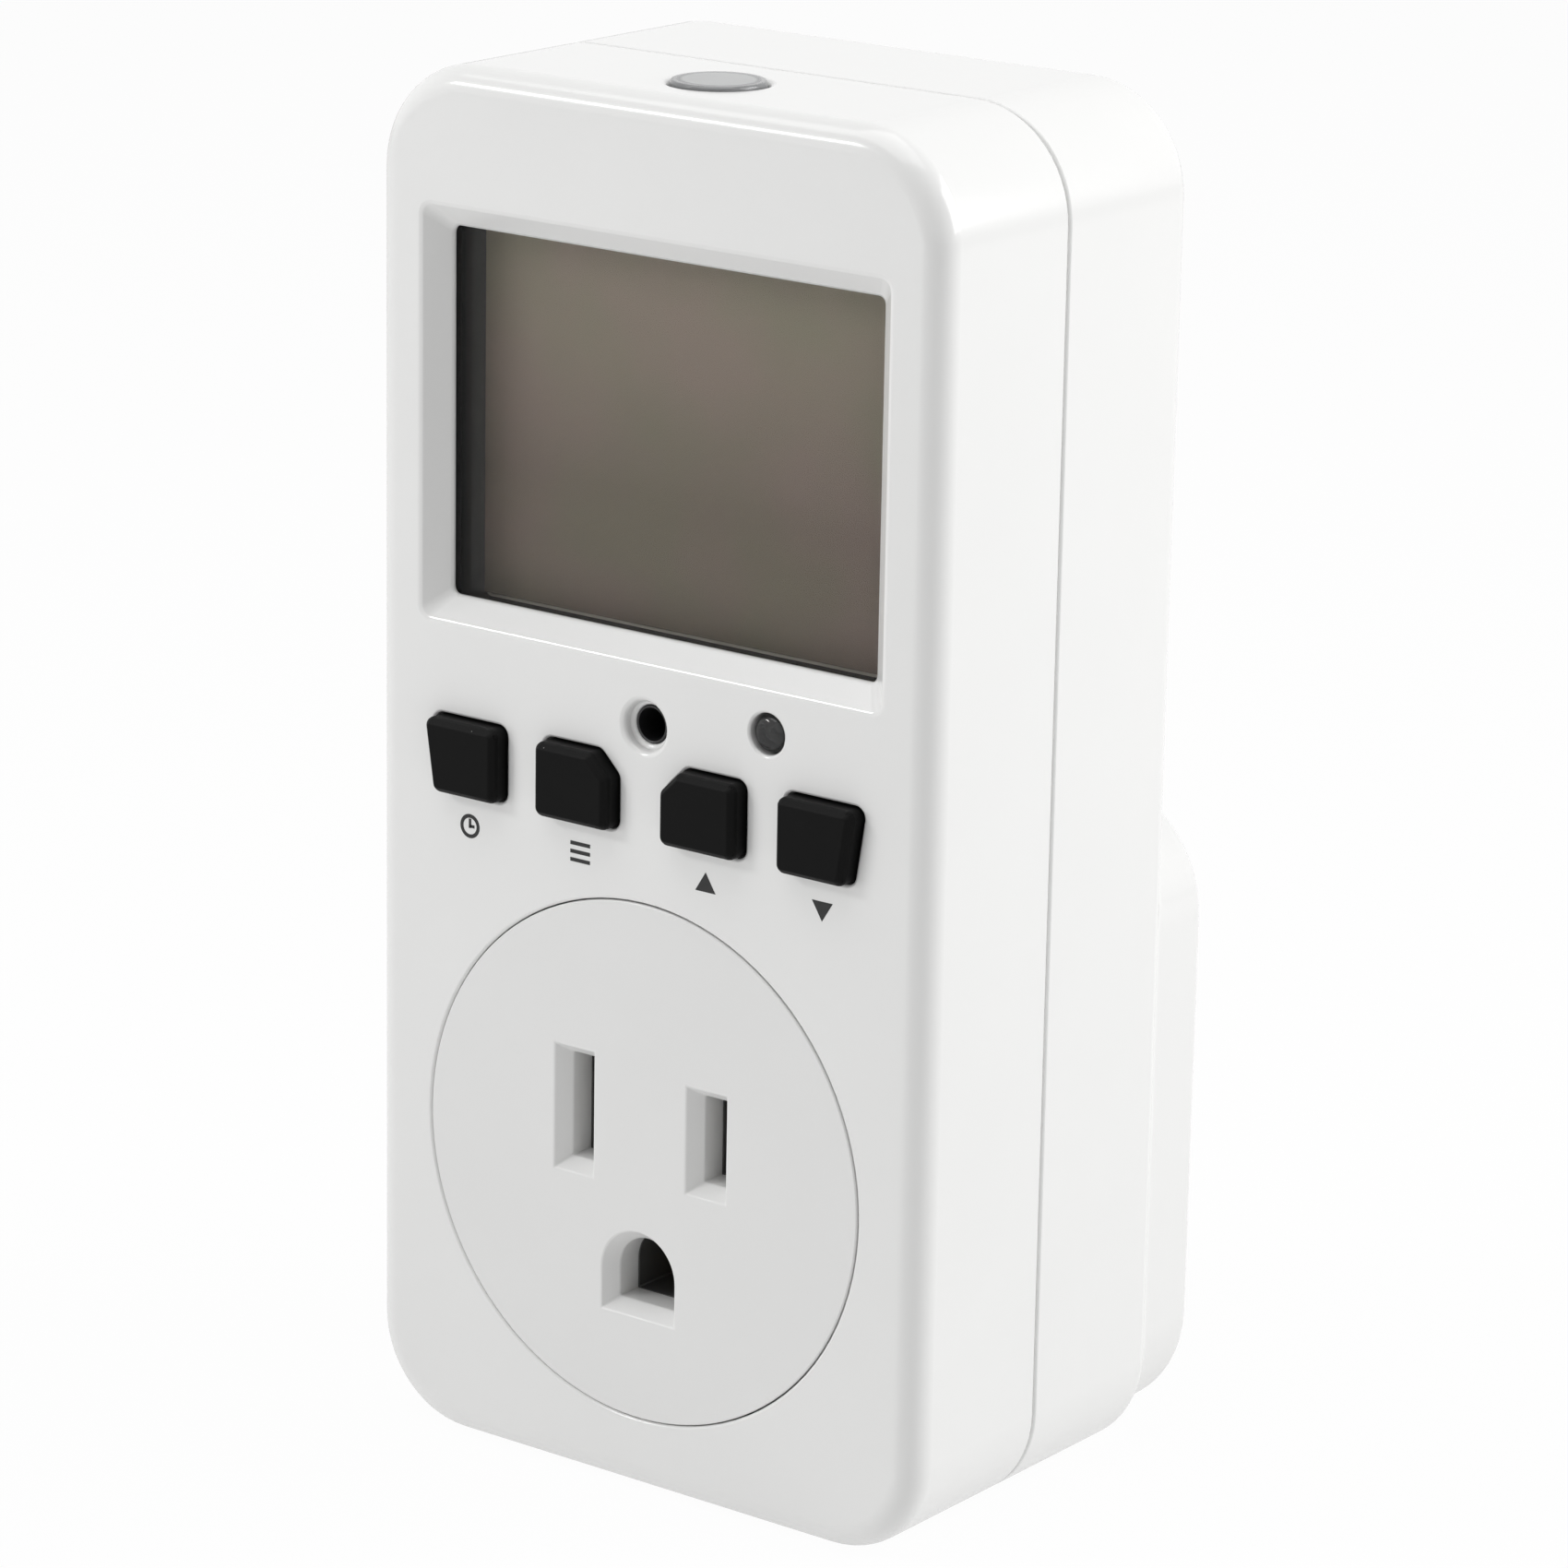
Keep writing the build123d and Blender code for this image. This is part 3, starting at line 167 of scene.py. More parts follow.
def softened(mesh, edge):
    """The mesh with its sharp edges rounded, and its flat faces shaded flat up to them."""
    worker = put("worker", mesh)
    rounding = worker.modifiers.new("edges", "BEVEL")
    rounding.width = edge
    rounding.segments = 2
    rounding.limit_method = "ANGLE"
    rounding.angle_limit = sharp
    rounding.use_clamp_overlap = False
    rounding.loop_slide = False
    shading = worker.modifiers.new("shading", "WEIGHTED_NORMAL")
    shading.keep_sharp = True
    shading.weight = 100
    return applied(worker)


def carried(node, edge):
    """Copy of a CAD node's mesh, its triangles joined to convex faces and its edges rounded."""
    grid = bmesh.new()
    grid.from_mesh(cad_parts[node].data)
    weld, flat = 0.0005 * mm, radians(0.3)
    bmesh.ops.remove_doubles(grid, verts=grid.verts, dist=weld)
    bmesh.ops.dissolve_limit(grid, angle_limit=flat, verts=grid.verts, edges=grid.edges)
    bmesh.ops.connect_verts_concave(grid, faces=grid.faces)
    smoothed(grid)
    mesh = as_mesh(node, grid)
    mesh.attributes.remove(mesh.attributes["custom_normal"])
    return softened(mesh, edge) if edge else mesh


def fit(name, mesh, finish, body="case", stands_for=()):
    """Shows a mesh as a piece in its finish, on its body, in place of the CAD nodes named."""
    mesh.materials.clear()
    mesh.materials.append(finish)
    piece = put(name, mesh)
    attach(piece, body)
    if stands_for:
        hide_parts(*stands_for)


def dress(name, node, finish, edge=0.0, body="case"):
    """Shows a CAD node's own shape as a piece, its sharp edges rounded by edge."""
    fit(name, carried(node, edge), finish, body, [node])


# Polished ABS gives a clean cool white that goes bright and crisp along every rounded edge, with
# only a trace of waviness in the flat faces.
white_abs = moulded("white ABS moulded glossy", "#e8e8e7", "#e5e5e4", 0.15, 0.35 * mm,
                    0.002 * mm, 1.53)
case_edge = 0.2 * mm
dress("case_front", "front_shell", white_abs, case_edge)


# ------------------------------------------------------------------------------------------------
# Rear half of the case with its plug boss, in the same ABS from the same shop. Its lip goes inside
# the front half, and a thin shadow line is left all round between the two.
dress("case_rear", "rear_shell", white_abs, case_edge)


# ------------------------------------------------------------------------------------------------
# Outlet disc. White polycarbonate, moulded apart from the case because it has to stand heat, and
# held behind the wall by its flange. The bevelled mouths of the slots lead the blades in.

# Satin polycarbonate gives a white a shade deeper and duller than the case's, with thin bright
# lines on the bevels.
insert_pc = moulded("white polycarbonate moulded satin", "#e4e4e3", "#e0e0df", 0.32, 0.3 * mm,
                    0.003 * mm, 1.58)
dress("outlet_disc", "socket_insert", insert_pc, 0.1 * mm)


# ------------------------------------------------------------------------------------------------
# Carrier of the outlet contacts. Glass-filled PBT with a little carbon black, moulded in one piece
# with a pocket for each contact, and held by a screw through each ear.

# Little carbon gives a dull charcoal, so that the slots and the ground hole darken with depth.
charcoal_pbt = moulded("charcoal PBT glass filled", "#4a4a49", "#444443", 0.5, 0.25 * mm,
                       0.01 * mm, 1.57)
block_edge = 0.12 * mm
dress("carrier_body", "contact_carrier", charcoal_pbt, block_edge)


# ------------------------------------------------------------------------------------------------
# Block round the plug's roots. Unpigmented PBT, glass filled and moulded in one piece, with a screw
# through each ear into the rear half.

# Glass fibres just under the surface give a dull, slightly mottled off-white.
natural_pbt = moulded("natural PBT glass filled", "#dededa", "#d2d2cd", 0.5, 0.25 * mm,
                      0.01 * mm, 1.57)
dress("root_block", "plug_block", natural_pbt, block_edge)


# ------------------------------------------------------------------------------------------------
# Outlet contacts and straps. Brass strip, rolled, punched and folded, with punched edges slightly
# rounded. The contacts seat in the carrier, and the straps join them to the plug's roots.
def rolled(name, light, dark, roughness, stretch):
    """Rolled or drawn metal: fine lines along the short side of stretch, and a drift of shade."""
    finish, tree, surface, place = two_shades(name, {"Metallic": 1.0}, light, dark, 4 * mm, 3)
    turned = add_node(tree, "ShaderNodeMapping", values={"Scale": stretch},
                      links={"Vector": place})
    lines = add_node(tree, "ShaderNodeTexNoise", values={"Scale": 1 / (0.15 * mm), "Detail": 4},
                     links={"Vector": turned.outputs["Vector"]})
    gloss = add_node(tree, "ShaderNodeMapRange",
                     values={"To Min": roughness - 0.08, "To Max": roughness + 0.1},
                     links={"Value": lines.outputs["Fac"]})
    bump = add_node(tree, "ShaderNodeBump", values={"Strength": 0.4, "Distance": 0.003 * mm},
                    links={"Height": lines.outputs["Fac"]})
    feed(surface, {"Roughness": gloss.outputs["Result"], "Normal": bump.outputs["Normal"]})
    return finish


# The rolls give warm yellow faces with fine lines that run along the case's depth.
along_depth = (1, 0.04, 1)
brass_sheet = rolled("brass strip rolled and punched", "#e0b96a", "#c9a052", 0.3, along_depth)
for node in ("neutral_contact", "line_contact", "ground_contact", "neutral_strap",
             "line_in_strap", "line_out_strap", "ground_strap"):
    dress(f"{node}_sheet", node, brass_sheet, 0.06 * mm)


# ------------------------------------------------------------------------------------------------
# Plug blades and ground pin. Brass bar, polished along its length and then nickel plated, with its
# edges broken. Their roots are trapped behind the rear wall.

# Nickel gives a bright warm grey mirror that the polishing lines stretch along the blades.
nickel_brass = rolled("brass nickel plated bright", "#d9d4c8", "#c8c2b4", 0.2, along_depth)
for name, node in (("neutral_blade_bar", "neutral_blade"), ("line_blade_bar", "line_blade"),
                   ("ground_pin_rod", "ground_pin")):
    dress(name, node, nickel_brass, 0.1 * mm)


# ------------------------------------------------------------------------------------------------
# Screws. Steel wire, cold headed with a cross recess, thread rolled and zinc plated. Four close
# the case from behind, one holds each ear of the carrier and the block, and four hold each board.
def new_tree(name, inputs):
    """Geometry tree with its named inputs: returns it and its input node's sockets."""
    tree = bpy.data.node_groups.new(name, "GeometryNodeTree")
    tree.interface.new_socket("Geometry", in_out="OUTPUT", socket_type="NodeSocketGeometry")
    for label, kind in {"Geometry": "Geometry", **inputs, "Finish": "Material"}.items():
        tree.interface.new_socket(label, in_out="INPUT", socket_type=f"NodeSocket{kind}")
    return tree, add_node(tree, "NodeGroupInput").outputs


def close_tree(tree, geometry, finish):
    """Ends a geometry tree in real geometry with its material."""
    real = add_node(tree, "GeometryNodeRealizeInstances", links={"Geometry": geometry})
    painted = add_node(tree, "GeometryNodeSetMaterial",
                       links={"Geometry": real.outputs["Geometry"], "Material": finish})
    add_node(tree, "NodeGroupOutput", links={"Geometry": painted.outputs["Geometry"]})


def run_tree(worker, tree, **values):
    """Mesh that a geometry tree makes of an object, with its named inputs set."""
    step = worker.modifiers.new(tree.name, "NODES")
    step.node_group = tree
    for item in tree.interface.items_tree:
        if item.in_out == "INPUT" and item.name in values:
            step[item.identifier] = values[item.name]
    return applied(worker)


# One tree lays copies of a piece in a straight run, and another winds a wire round an axis.
run, given = new_tree("run of like pieces", {"Count": "Int", "Start": "Vector", "Step": "Vector"})
stops = add_node(run, "GeometryNodeMeshLine", {"mode": "OFFSET"},
                 links={"Count": given["Count"], "Start Location": given["Start"],
                        "Offset": given["Step"]})
copies = add_node(run, "GeometryNodeInstanceOnPoints",
                  links={"Points": stops.outputs["Mesh"], "Instance": given["Geometry"]})
close_tree(run, copies.outputs["Instances"], given["Finish"])

winding, given = new_tree("wire wound round an axis",
                          {"Turns": "Float", "Radius": "Float", "Length": "Float",
                           "Wire": "Float", "Steps": "Int", "Sides": "Int"})
line = add_node(winding, "GeometryNodeCurveSpiral",
                links={"Resolution": given["Steps"], "Rotations": given["Turns"],
                       "Start Radius": given["Radius"], "End Radius": given["Radius"],
                       "Height": given["Length"]})
section = add_node(winding, "GeometryNodeCurvePrimitiveCircle",
                   links={"Resolution": given["Sides"], "Radius": given["Wire"]})
wire = add_node(winding, "GeometryNodeCurveToMesh", values={"Fill Caps": True},
                links={"Curve": line.outputs["Curve"], "Profile Curve": section.outputs["Curve"]})
close_tree(winding, wire.outputs["Mesh"], given["Finish"])


def in_a_run(mesh, count, start, step, finish):
    """Copies of a mesh in a straight run."""
    return run_tree(put("worker", mesh), run, Count=count, Start=start, Step=step, Finish=finish)


def wound(turns, radius, length, wire, steps, sides, finish):
    """Wire wound round Z from the origin up, with so many steps a turn and sides to its section."""
    worker = put("worker", bpy.data.meshes.new("wire"))
    mesh = run_tree(worker, winding, Turns=turns, Radius=radius, Length=length, Wire=wire,
                    Steps=steps, Sides=sides, Finish=finish)
    for face in mesh.polygons:
        face.use_smooth = True
    return mesh


def joined(name, *meshes):
    """Several meshes as one."""
    grid = bmesh.new()
    for mesh in meshes:
        grid.from_mesh(mesh)
    return as_mesh(name, grid)


def turned_piece(profile, steps=40):
    """Solid of revolution about Z from (radius, height) points, from the axis and back to it."""
    grid = bmesh.new()
    line = [grid.verts.new((radius, 0, height)) for radius, height in profile]
    edges = [grid.edges.new(pair) for pair in zip(line, line[1:])]
    bmesh.ops.spin(grid, geom=line + edges, cent=(0, 0, 0), axis=(0, 0, 1), angle=tau,
                   steps=steps, use_duplicate=False)
    bmesh.ops.remove_doubles(grid, verts=grid.verts, dist=0.001 * mm)
    bmesh.ops.recalc_face_normals(grid, faces=grid.faces)
    smoothed(grid)
    return as_mesh("turned piece", grid)


def brick(low, high):
    """Box between two corners."""
    grid = bmesh.new()
    size, middle = Vector(high) - Vector(low), (Vector(high) + Vector(low)) / 2
    bmesh.ops.create_cube(grid, size=1,
                          matrix=Matrix.Translation(middle) @ Matrix.Diagonal((*size, 1)))
    return as_mesh("brick", grid)


def screw_blank(head, height, shank, length):
    """Pan-head screw, head up, its seat at the origin: head and shank are radii."""
    crown, root = height / 3, shank * 0.86
    body = turned_piece([(0, height), (head * 0.55, height * 0.98),
                         (head * 0.85, height - crown / 2), (head, height - crown), (head, 0),
                         (root, 0), (root, shank - length), (0, -length)])
    worker = put("worker", body)
    arm, half, recess_floor = head * 0.6, head / 7, height * 0.35
    cutters = []
    for x, y in ((arm, half), (half, arm)):
        cutters.append(put("cutter", brick((-x, -y, recess_floor), (x, y, 2 * height))))
        cut = worker.modifiers.new("cross", "BOOLEAN")
        cut.object = cutters[-1]
        cut.solver = "EXACT"
    body = applied(worker)
    for cutter in cutters:
        bpy.data.objects.remove(cutter)
    threaded, pitch = length - 2.2 * shank, shank * 0.75
    ridge = wound(threaded / pitch, root, threaded, shank - root, 16, 4, zinc_steel)
    ridge.transform(Matrix.Translation((0, 0, -threaded - shank * 0.4)))
    return joined("screw", body, ridge)


def screws_in(node, pairs, height, blank, facing):
    """Screws in pairs at (half span, height), their seats where the CAD heads have them."""
    low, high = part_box(node)
    seat = high.y - height if facing > 0 else low.y + height
    one = blank.copy()
    one.transform(Matrix.Rotation(-facing * pi / 2, 4, "X"))
    sets = [in_a_run(one, 2, (-half_span, seat, z), (2 * half_span, 0.0, 0.0), zinc_steel)
            for half_span, z in pairs]
    fit(f"{node}_threaded", joined(node, *sets), zinc_steel, stands_for=[node])


# Zinc gives a cool, faintly bluish grey of middling gloss.
along_z = (1, 1, 0.1)
zinc_steel = rolled("steel zinc plated cold headed", "#c9cdd2", "#b4b9bf", 0.28, along_z)

head, height, low_inset = 2.6 * mm, 2.0 * mm, 0.7 * mm
low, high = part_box("case_screws")
screws_in("case_screws", [(high.x - head, high.z - head),
                          (high.x - head - low_inset, low.z + head)],
          height, screw_blank(head, height, 1.3 * mm, 16 * mm), 1)

head, height = 2.0 * mm, 1.4 * mm
ear_screw = screw_blank(head, height, 1.1 * mm, 6.5 * mm)
for node, facing in (("carrier_screws", 1), ("plug_block_screws", -1)):
    low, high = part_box(node)
    screws_in(node, [(high.x - head, (low.z + high.z) / 2)], height, ear_screw, facing)

head, height, shank, high_half_span = 1.8 * mm, 1.2 * mm, 0.9 * mm, 12.5 * mm
low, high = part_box("board_screws")
screws_in("board_screws", [(high.x - head, low.z + head), (high_half_span, high.z - head)],
          height, screw_blank(head, height, shank, 6 * mm), 1)
low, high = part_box("power_board_screws")
screws_in("power_board_screws", [(high.x - head, low.z + head), (high.x - head, high.z - head)],
          height, screw_blank(head, height, shank, 4.4 * mm), -1)


# ------------------------------------------------------------------------------------------------
# Display window. A cast acrylic plate, laser cut, seated behind the bevelled opening and pressed
# against its rim by the gasket and the glass.

# Clear acrylic gives a faint clean reflection over the display, and slightly bends what is behind.
clear_acrylic, tree, surface, place = new_finish(
    "clear acrylic cast", {"Base Color": linear("#fbfcfc"), "Roughness": 0.02, "IOR": 1.49,
                           "Specular Tint": linear("#6a6a6a"), "Transmission Weight": 1.0})
grained(tree, surface, place, 9 * mm, 1, 0.2, 0.01 * mm)
dress("window_plate", "lcd_window", clear_acrylic, 0.05 * mm)


# ------------------------------------------------------------------------------------------------
# Foam gasket round the display. Black closed-cell foam, die cut, pressed between window and glass
# to keep dust off.

# Foam gives the dead black frame that shows inside the opening from one side. Its colour is painted
# greyer towards the glass, a painted light that fades the dark frame into the display.
black_foam, tree, surface, place = new_finish(
    "black foam closed cell", {"Roughness": 0.95, "Specular IOR Level": 0.05})
low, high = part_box("lcd_gasket")
# Painted light: the foam's colour ramps from black at the window to grey at the glass.
apart = add_node(tree, "ShaderNodeSeparateXYZ", links={"Vector": place})
depth = add_node(tree, "ShaderNodeMapRange", values={"From Min": low.y, "From Max": high.y},
                 links={"Value": apart.outputs["Y"]})
shade = add_node(tree, "ShaderNodeMix", {"data_type": "RGBA"},
                 {6: linear("#0a0a0b"), 7: linear("#4e4b48")}, {0: depth.outputs["Result"]})
cells = add_node(tree, "ShaderNodeTexVoronoi", values={"Scale": 1 / (0.25 * mm)},
                 links={"Vector": place})
bump = add_node(tree, "ShaderNodeBump", values={"Strength": 0.3, "Distance": 0.01 * mm},
                links={"Height": cells.outputs["Distance"]})
feed(surface, {"Base Color": shade.outputs[2], "Normal": bump.outputs["Normal"]})
dress("gasket_frame", "lcd_gasket", black_foam)


# ------------------------------------------------------------------------------------------------
# Liquid crystal display, switched off. Two bonded glass plates, the front one under a polarising
# film that stops just short of the glass's lower edge. The contact strips hold it in its frame.

# The glass is coloured pale, a painted highlight that gives a paler line below the film's lower
# edge.
lcd_glass = two_shades("display glass with painted edge highlight", {"Roughness": 0.12, "IOR": 1.52},
                       "#cfc8be", "#c2bbb0", 7 * mm, 2)[0]
dress("display_plates", "lcd_panel", lcd_glass, 0.05 * mm)

# The film gives a matt brown-grey that drifts towards olive and plum in patches of a centimetre or
# so. It is also painted paler towards the top, a painted light gradient.
polariser, tree, surface, place = new_finish(
    "polarising film anti-glare", {"IOR": 1.5, "Specular IOR Level": 0.15})
low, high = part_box("lcd_panel")
apart = add_node(tree, "ShaderNodeSeparateXYZ", links={"Vector": place})
# Painted light: the film's ground colour grows paler from a third of the way up to the top.
painted_light_from = low.z + 0.35 * (high.z - low.z)
painted_light_rise = add_node(tree, "ShaderNodeMapRange", values={"From Min": painted_light_from, "From Max": high.z},
                links={"Value": apart.outputs["Z"]})
ground = add_node(tree, "ShaderNodeMix", {"data_type": "RGBA"},
                  {6: linear("#776a61"), 7: linear("#9f9285")}, {0: painted_light_rise.outputs["Result"]})
patches = add_node(tree, "ShaderNodeTexNoise", values={"Scale": 1 / (11 * mm), "Detail": 2},
                   links={"Vector": place})
levels = add_node(tree, "ShaderNodeMapRange", values={"From Min": 0.35, "From Max": 0.65},
                  links={"Value": patches.outputs["Fac"]})
tint = add_node(tree, "ShaderNodeMix", {"data_type": "RGBA"},
                {6: linear("#fdfaf9"), 7: linear("#f0faec")}, {0: levels.outputs["Result"]})
shade = add_node(tree, "ShaderNodeMix", {"data_type": "RGBA", "blend_type": "MULTIPLY"},
                 {0: 1.0}, {6: ground.outputs[2], 7: tint.outputs[2]})
grit = add_node(tree, "ShaderNodeTexNoise", values={"Scale": 1 / (0.2 * mm), "Detail": 2},
                links={"Vector": place})
gloss = add_node(tree, "ShaderNodeMapRange", values={"To Min": 0.48, "To Max": 0.52},
                 links={"Value": grit.outputs["Fac"]})
feed(surface, {"Base Color": shade.outputs[2], "Roughness": gloss.outputs["Result"]})
film, side_margin, high_margin, low_margin = 0.2 * mm, 1.5 * mm, 1.5 * mm, 0.98 * mm
window_low, window_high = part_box("lcd_window")
sheet = brick((window_low.x + side_margin, low.y - film, window_low.z + low_margin),
              (window_high.x - side_margin, low.y, window_high.z - high_margin))
fit("polariser_film", softened(sheet, 0.04 * mm), polariser)


# ------------------------------------------------------------------------------------------------
# Display holder, the first of the black mouldings. PBT coloured with carbon black. The holder
# centres the glass over the board and keeps the two contact strips upright.

# Carbon black gives an even near-black with a soft satin sheen.
black_plastic = moulded("black PBT moulded satin", "#161617", "#1d1d1e", 0.4, 0.3 * mm,
                        0.006 * mm, 1.57)
dress("holder_frame", "lcd_holder", black_plastic, 0.08 * mm)


# ------------------------------------------------------------------------------------------------
# Contact strips between the glass and the board. Silicone with layers of carbon-filled and plain
# rubber by turns, sliced across and squeezed by the holder.

# The layers give each strip fine bars of dull black and pinkish grey.
zebra_silicone, tree, surface, place = new_finish("layered silicone connector",
                                                  {"Roughness": 0.6, "IOR": 1.41})
apart = add_node(tree, "ShaderNodeSeparateXYZ", links={"Vector": place})
bar_pitch = 0.5 * mm                # coarser than the real tenth of a millimetre, so that it shows
share = add_node(tree, "ShaderNodeMath", {"operation": "DIVIDE"}, {1: bar_pitch},
                 {0: apart.outputs["X"]})
share = add_node(tree, "ShaderNodeMath", {"operation": "FRACT"},
                 links={0: share.outputs["Value"]})
bars = add_node(tree, "ShaderNodeMath", {"operation": "GREATER_THAN"}, {1: 0.5},
                {0: share.outputs["Value"]})
shade = add_node(tree, "ShaderNodeMix", {"data_type": "RGBA"},
                 {6: linear("#c9b9b0"), 7: linear("#161616")}, {0: bars.outputs["Value"]})
feed(surface, {"Base Color": shade.outputs[2]})
low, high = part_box("zebra_strips")
strip_height = 2.0 * mm
bar = brick((0, low.y, 0), (bar_pitch * 0.92, high.y, strip_height))
bars = in_a_run(bar, int((high.x - low.x) / bar_pitch), (low.x, 0.0, low.z),
                (bar_pitch, 0.0, 0.0), zebra_silicone)
bars = in_a_run(bars, 2, (0.0, 0.0, 0.0), (0.0, 0.0, high.z - strip_height - low.z),
                zebra_silicone)
fit("zebra_bars", bars, zebra_silicone, stands_for=["zebra_strips"])


# ------------------------------------------------------------------------------------------------
# Keys and their mat. Black silicone rubber, compression moulded. Each key stands through its hole
# in the case, and under it a carbon pill closes the contact on the board.

# Silicone gives a matt soft-edged black that holds a few specks of pale dust.
black_silicone, tree, surface, place = new_finish(
    "black silicone rubber moulded", {"Roughness": 0.5, "IOR": 1.41, "Specular IOR Level": 0.13})
drift = add_node(tree, "ShaderNodeTexNoise", values={"Scale": 1 / (3 * mm), "Detail": 4},
                 links={"Vector": place})
shade = add_node(tree, "ShaderNodeMix", {"data_type": "RGBA"},
                 {6: linear("#080808"), 7: linear("#0d0d0d")}, {0: drift.outputs["Fac"]})
lint = add_node(tree, "ShaderNodeTexVoronoi", values={"Scale": 1 / (1.6 * mm), "Randomness": 1.0},
                links={"Vector": place})
specks = add_node(tree, "ShaderNodeMath", {"operation": "LESS_THAN"}, {1: 0.035},
                  {0: lint.outputs["Distance"]})
dusty = add_node(tree, "ShaderNodeMix", {"data_type": "RGBA"}, {7: linear("#8c8c8a")},
                 {0: specks.outputs["Value"], 6: shade.outputs[2]})
feed(surface, {"Base Color": dusty.outputs[2]})
grained(tree, surface, place, 0.25 * mm, 4, 0.5, 0.012 * mm)

# Carbon filling gives the pills a dry grey-black without gloss.
carbon = two_shades("carbon filled silicone", {"Roughness": 0.7, "IOR": 1.45},
                    "#0d0d0e", "#262627", 0.3 * mm, 3)[0]

dress("keypad_sheet", "keypad_mat", black_silicone, 0.1 * mm)
keys = ("set", "function", "up", "down")
for key in keys:
    dress(f"{key}_cap", f"key_{key}", black_silicone, 0.16 * mm, f"{key}_key")
    dress(f"{key}_pill", f"pill_{key}", carbon, 0.05 * mm, f"{key}_key")


# ------------------------------------------------------------------------------------------------
# Printed marks under the keys. Black ink, pad printed on the case: a clock face, three bars, and
# two triangles for up and down. The ink stands a hundredth of a millimetre or two proud.

# Pad printing gives a flat black that thins to dark grey in places.
ink = two_shades("black ink pad printed", {"Roughness": 0.5, "IOR": 1.5},
                 "#101010", "#232323", 0.4 * mm, 4)[0]


def printed(name, outlines, centre_x):
    """Mark of flat outlines drawn about its own centre, standing on the front face."""
    grid = bmesh.new()
    for outline in outlines:
        corners = [grid.verts.new((centre_x + x, print_y, print_z + z)) for x, z in outline]
        raised = bmesh.ops.extrude_face_region(grid, geom=[grid.faces.new(corners)])
        top = [item for item in raised["geom"] if isinstance(item, bmesh.types.BMVert)]
        bmesh.ops.translate(grid, verts=top, vec=(0, -ink_height, 0))
    bmesh.ops.recalc_face_normals(grid, faces=grid.faces)
    fit(name, as_mesh(name, grid), ink)


def strip(x0, z0, x1, z1, width):
    """Outline of a straight stroke."""
    along = Vector((x1 - x0, z1 - z0)).normalized() * width / 2
    side = Vector((-along.y, along.x))
    return [(x0 - side.x, z0 - side.y), (x1 - side.x, z1 - side.y),
            (x1 + side.x, z1 + side.y), (x0 + side.x, z0 + side.y)]


def arc(radius, start, end, steps=10):
    """Points on part of a circle."""
    turns = [start + (end - start) * at / steps for at in range(steps + 1)]
    return [(radius * cos(turn), radius * sin(turn)) for turn in turns]


ink_height, sunk, stroke, mark_half = 0.02 * mm, 0.005 * mm, 0.3 * mm, 0.95 * mm
mark_drop, bar_step = 5.42 * mm, 0.65 * mm
key_low, key_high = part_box("key_up")
key_z = (key_low.z + key_high.z) / 2
print_y, print_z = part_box("front_shell")[0].y + sunk, key_z - mark_drop
spots = [sum(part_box(f"key_{key}")[end].x for end in (0, 1)) / 2 for key in keys]
quarters = [(quarter * pi / 2, (quarter + 1) * pi / 2) for quarter in range(4)]
ring = [arc(mark_half, start, end) + arc(mark_half - stroke, end, start)
        for start, end in quarters]
hand, hand_stroke = mark_half * 0.62, stroke * 0.8
printed("mark_clock", ring + [strip(0, -stroke / 2, 0, hand, hand_stroke),
                              strip(0, 0, hand * 0.75, 0, hand_stroke)], spots[0])
printed("mark_bars", [strip(-mark_half, row * bar_step, mark_half, row * bar_step, stroke)
                      for row in (-1, 0, 1)], spots[1])
peak, foot = mark_half * 0.85, -mark_half * 0.75
printed("mark_up", [[(-mark_half, foot), (mark_half, foot), (0, peak)]], spots[2])
printed("mark_down", [[(-mark_half, -foot), (0, -peak), (mark_half, -foot)]], spots[3])


# ------------------------------------------------------------------------------------------------
# Status lamp. A 3 mm light-emitting diode cast in clear epoxy round its tinned lead frame, with the
# dome level with the case and its legs in the board.

# The epoxy is tinted smoke grey, a painted shade for the dark case seen through it; the lead frame
# shows dim inside.
clear_epoxy, tree, surface, place = new_finish(
    "clear epoxy tinted as painted shade", {"Base Color": linear("#545657"), "Roughness": 0.04, "IOR": 1.54,
                               "Transmission Weight": 1.0})
grained(tree, surface, place, 1.2 * mm, 2, 0.15, 0.02 * mm)
dress("status_bulb", "status_led", clear_epoxy)

# Tin gives a pale grey of low gloss with faint drawing lines.
iron_plate = rolled("soft iron tin plated", "#c4c4c2", "#aeaeac", 0.35, along_z)
low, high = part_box("status_led")
cup_radius, cup_floor, cup_stem, cup_aside = 0.75 * mm, 0.35 * mm, 0.8 * mm, 0.35 * mm
rim_depth, post, post_aside, post_end = 2.1 * mm, 0.22 * mm, 1.0 * mm, 2.9 * mm
rim_middle = Vector(((low.x + high.x) / 2, low.y + rim_depth, (low.z + high.z) / 2))
cup = turned_piece([(0, -cup_floor), (cup_radius * 0.45, -cup_floor), (cup_radius * 0.8, 0),
                    (cup_radius, 0), (cup_radius * 0.7, -cup_stem), (0, -cup_stem)])
cup.transform(Matrix.Translation((-cup_aside, 0, 0)) @ Matrix.Rotation(pi / 2, 4, "X"))
# The left post carries the cup on an arm, and the right post ends in a thicker head.
arm_front, arm_back, arm_end = 0.7 * mm, 1.1 * mm, -0.1 * mm
head_front, head_back, head_side = -0.1 * mm, 0.6 * mm, 0.55 * mm
lead_frame = joined(
    "lead frame", cup,
    brick((-post_aside - post, cup_stem, -post), (-post_aside + post, post_end, post)),
    brick((-post_aside - post, arm_front, -post), (arm_end, arm_back, post)),
    brick((post_aside - post, head_front, -post), (post_aside + post, post_end, post)),
    brick((head_side, head_front, -2 * post), (post_aside + post, head_back, 2 * post)))
lead_frame.transform(Matrix.Translation(rim_middle))
fit("status_lead_frame", lead_frame, iron_plate)


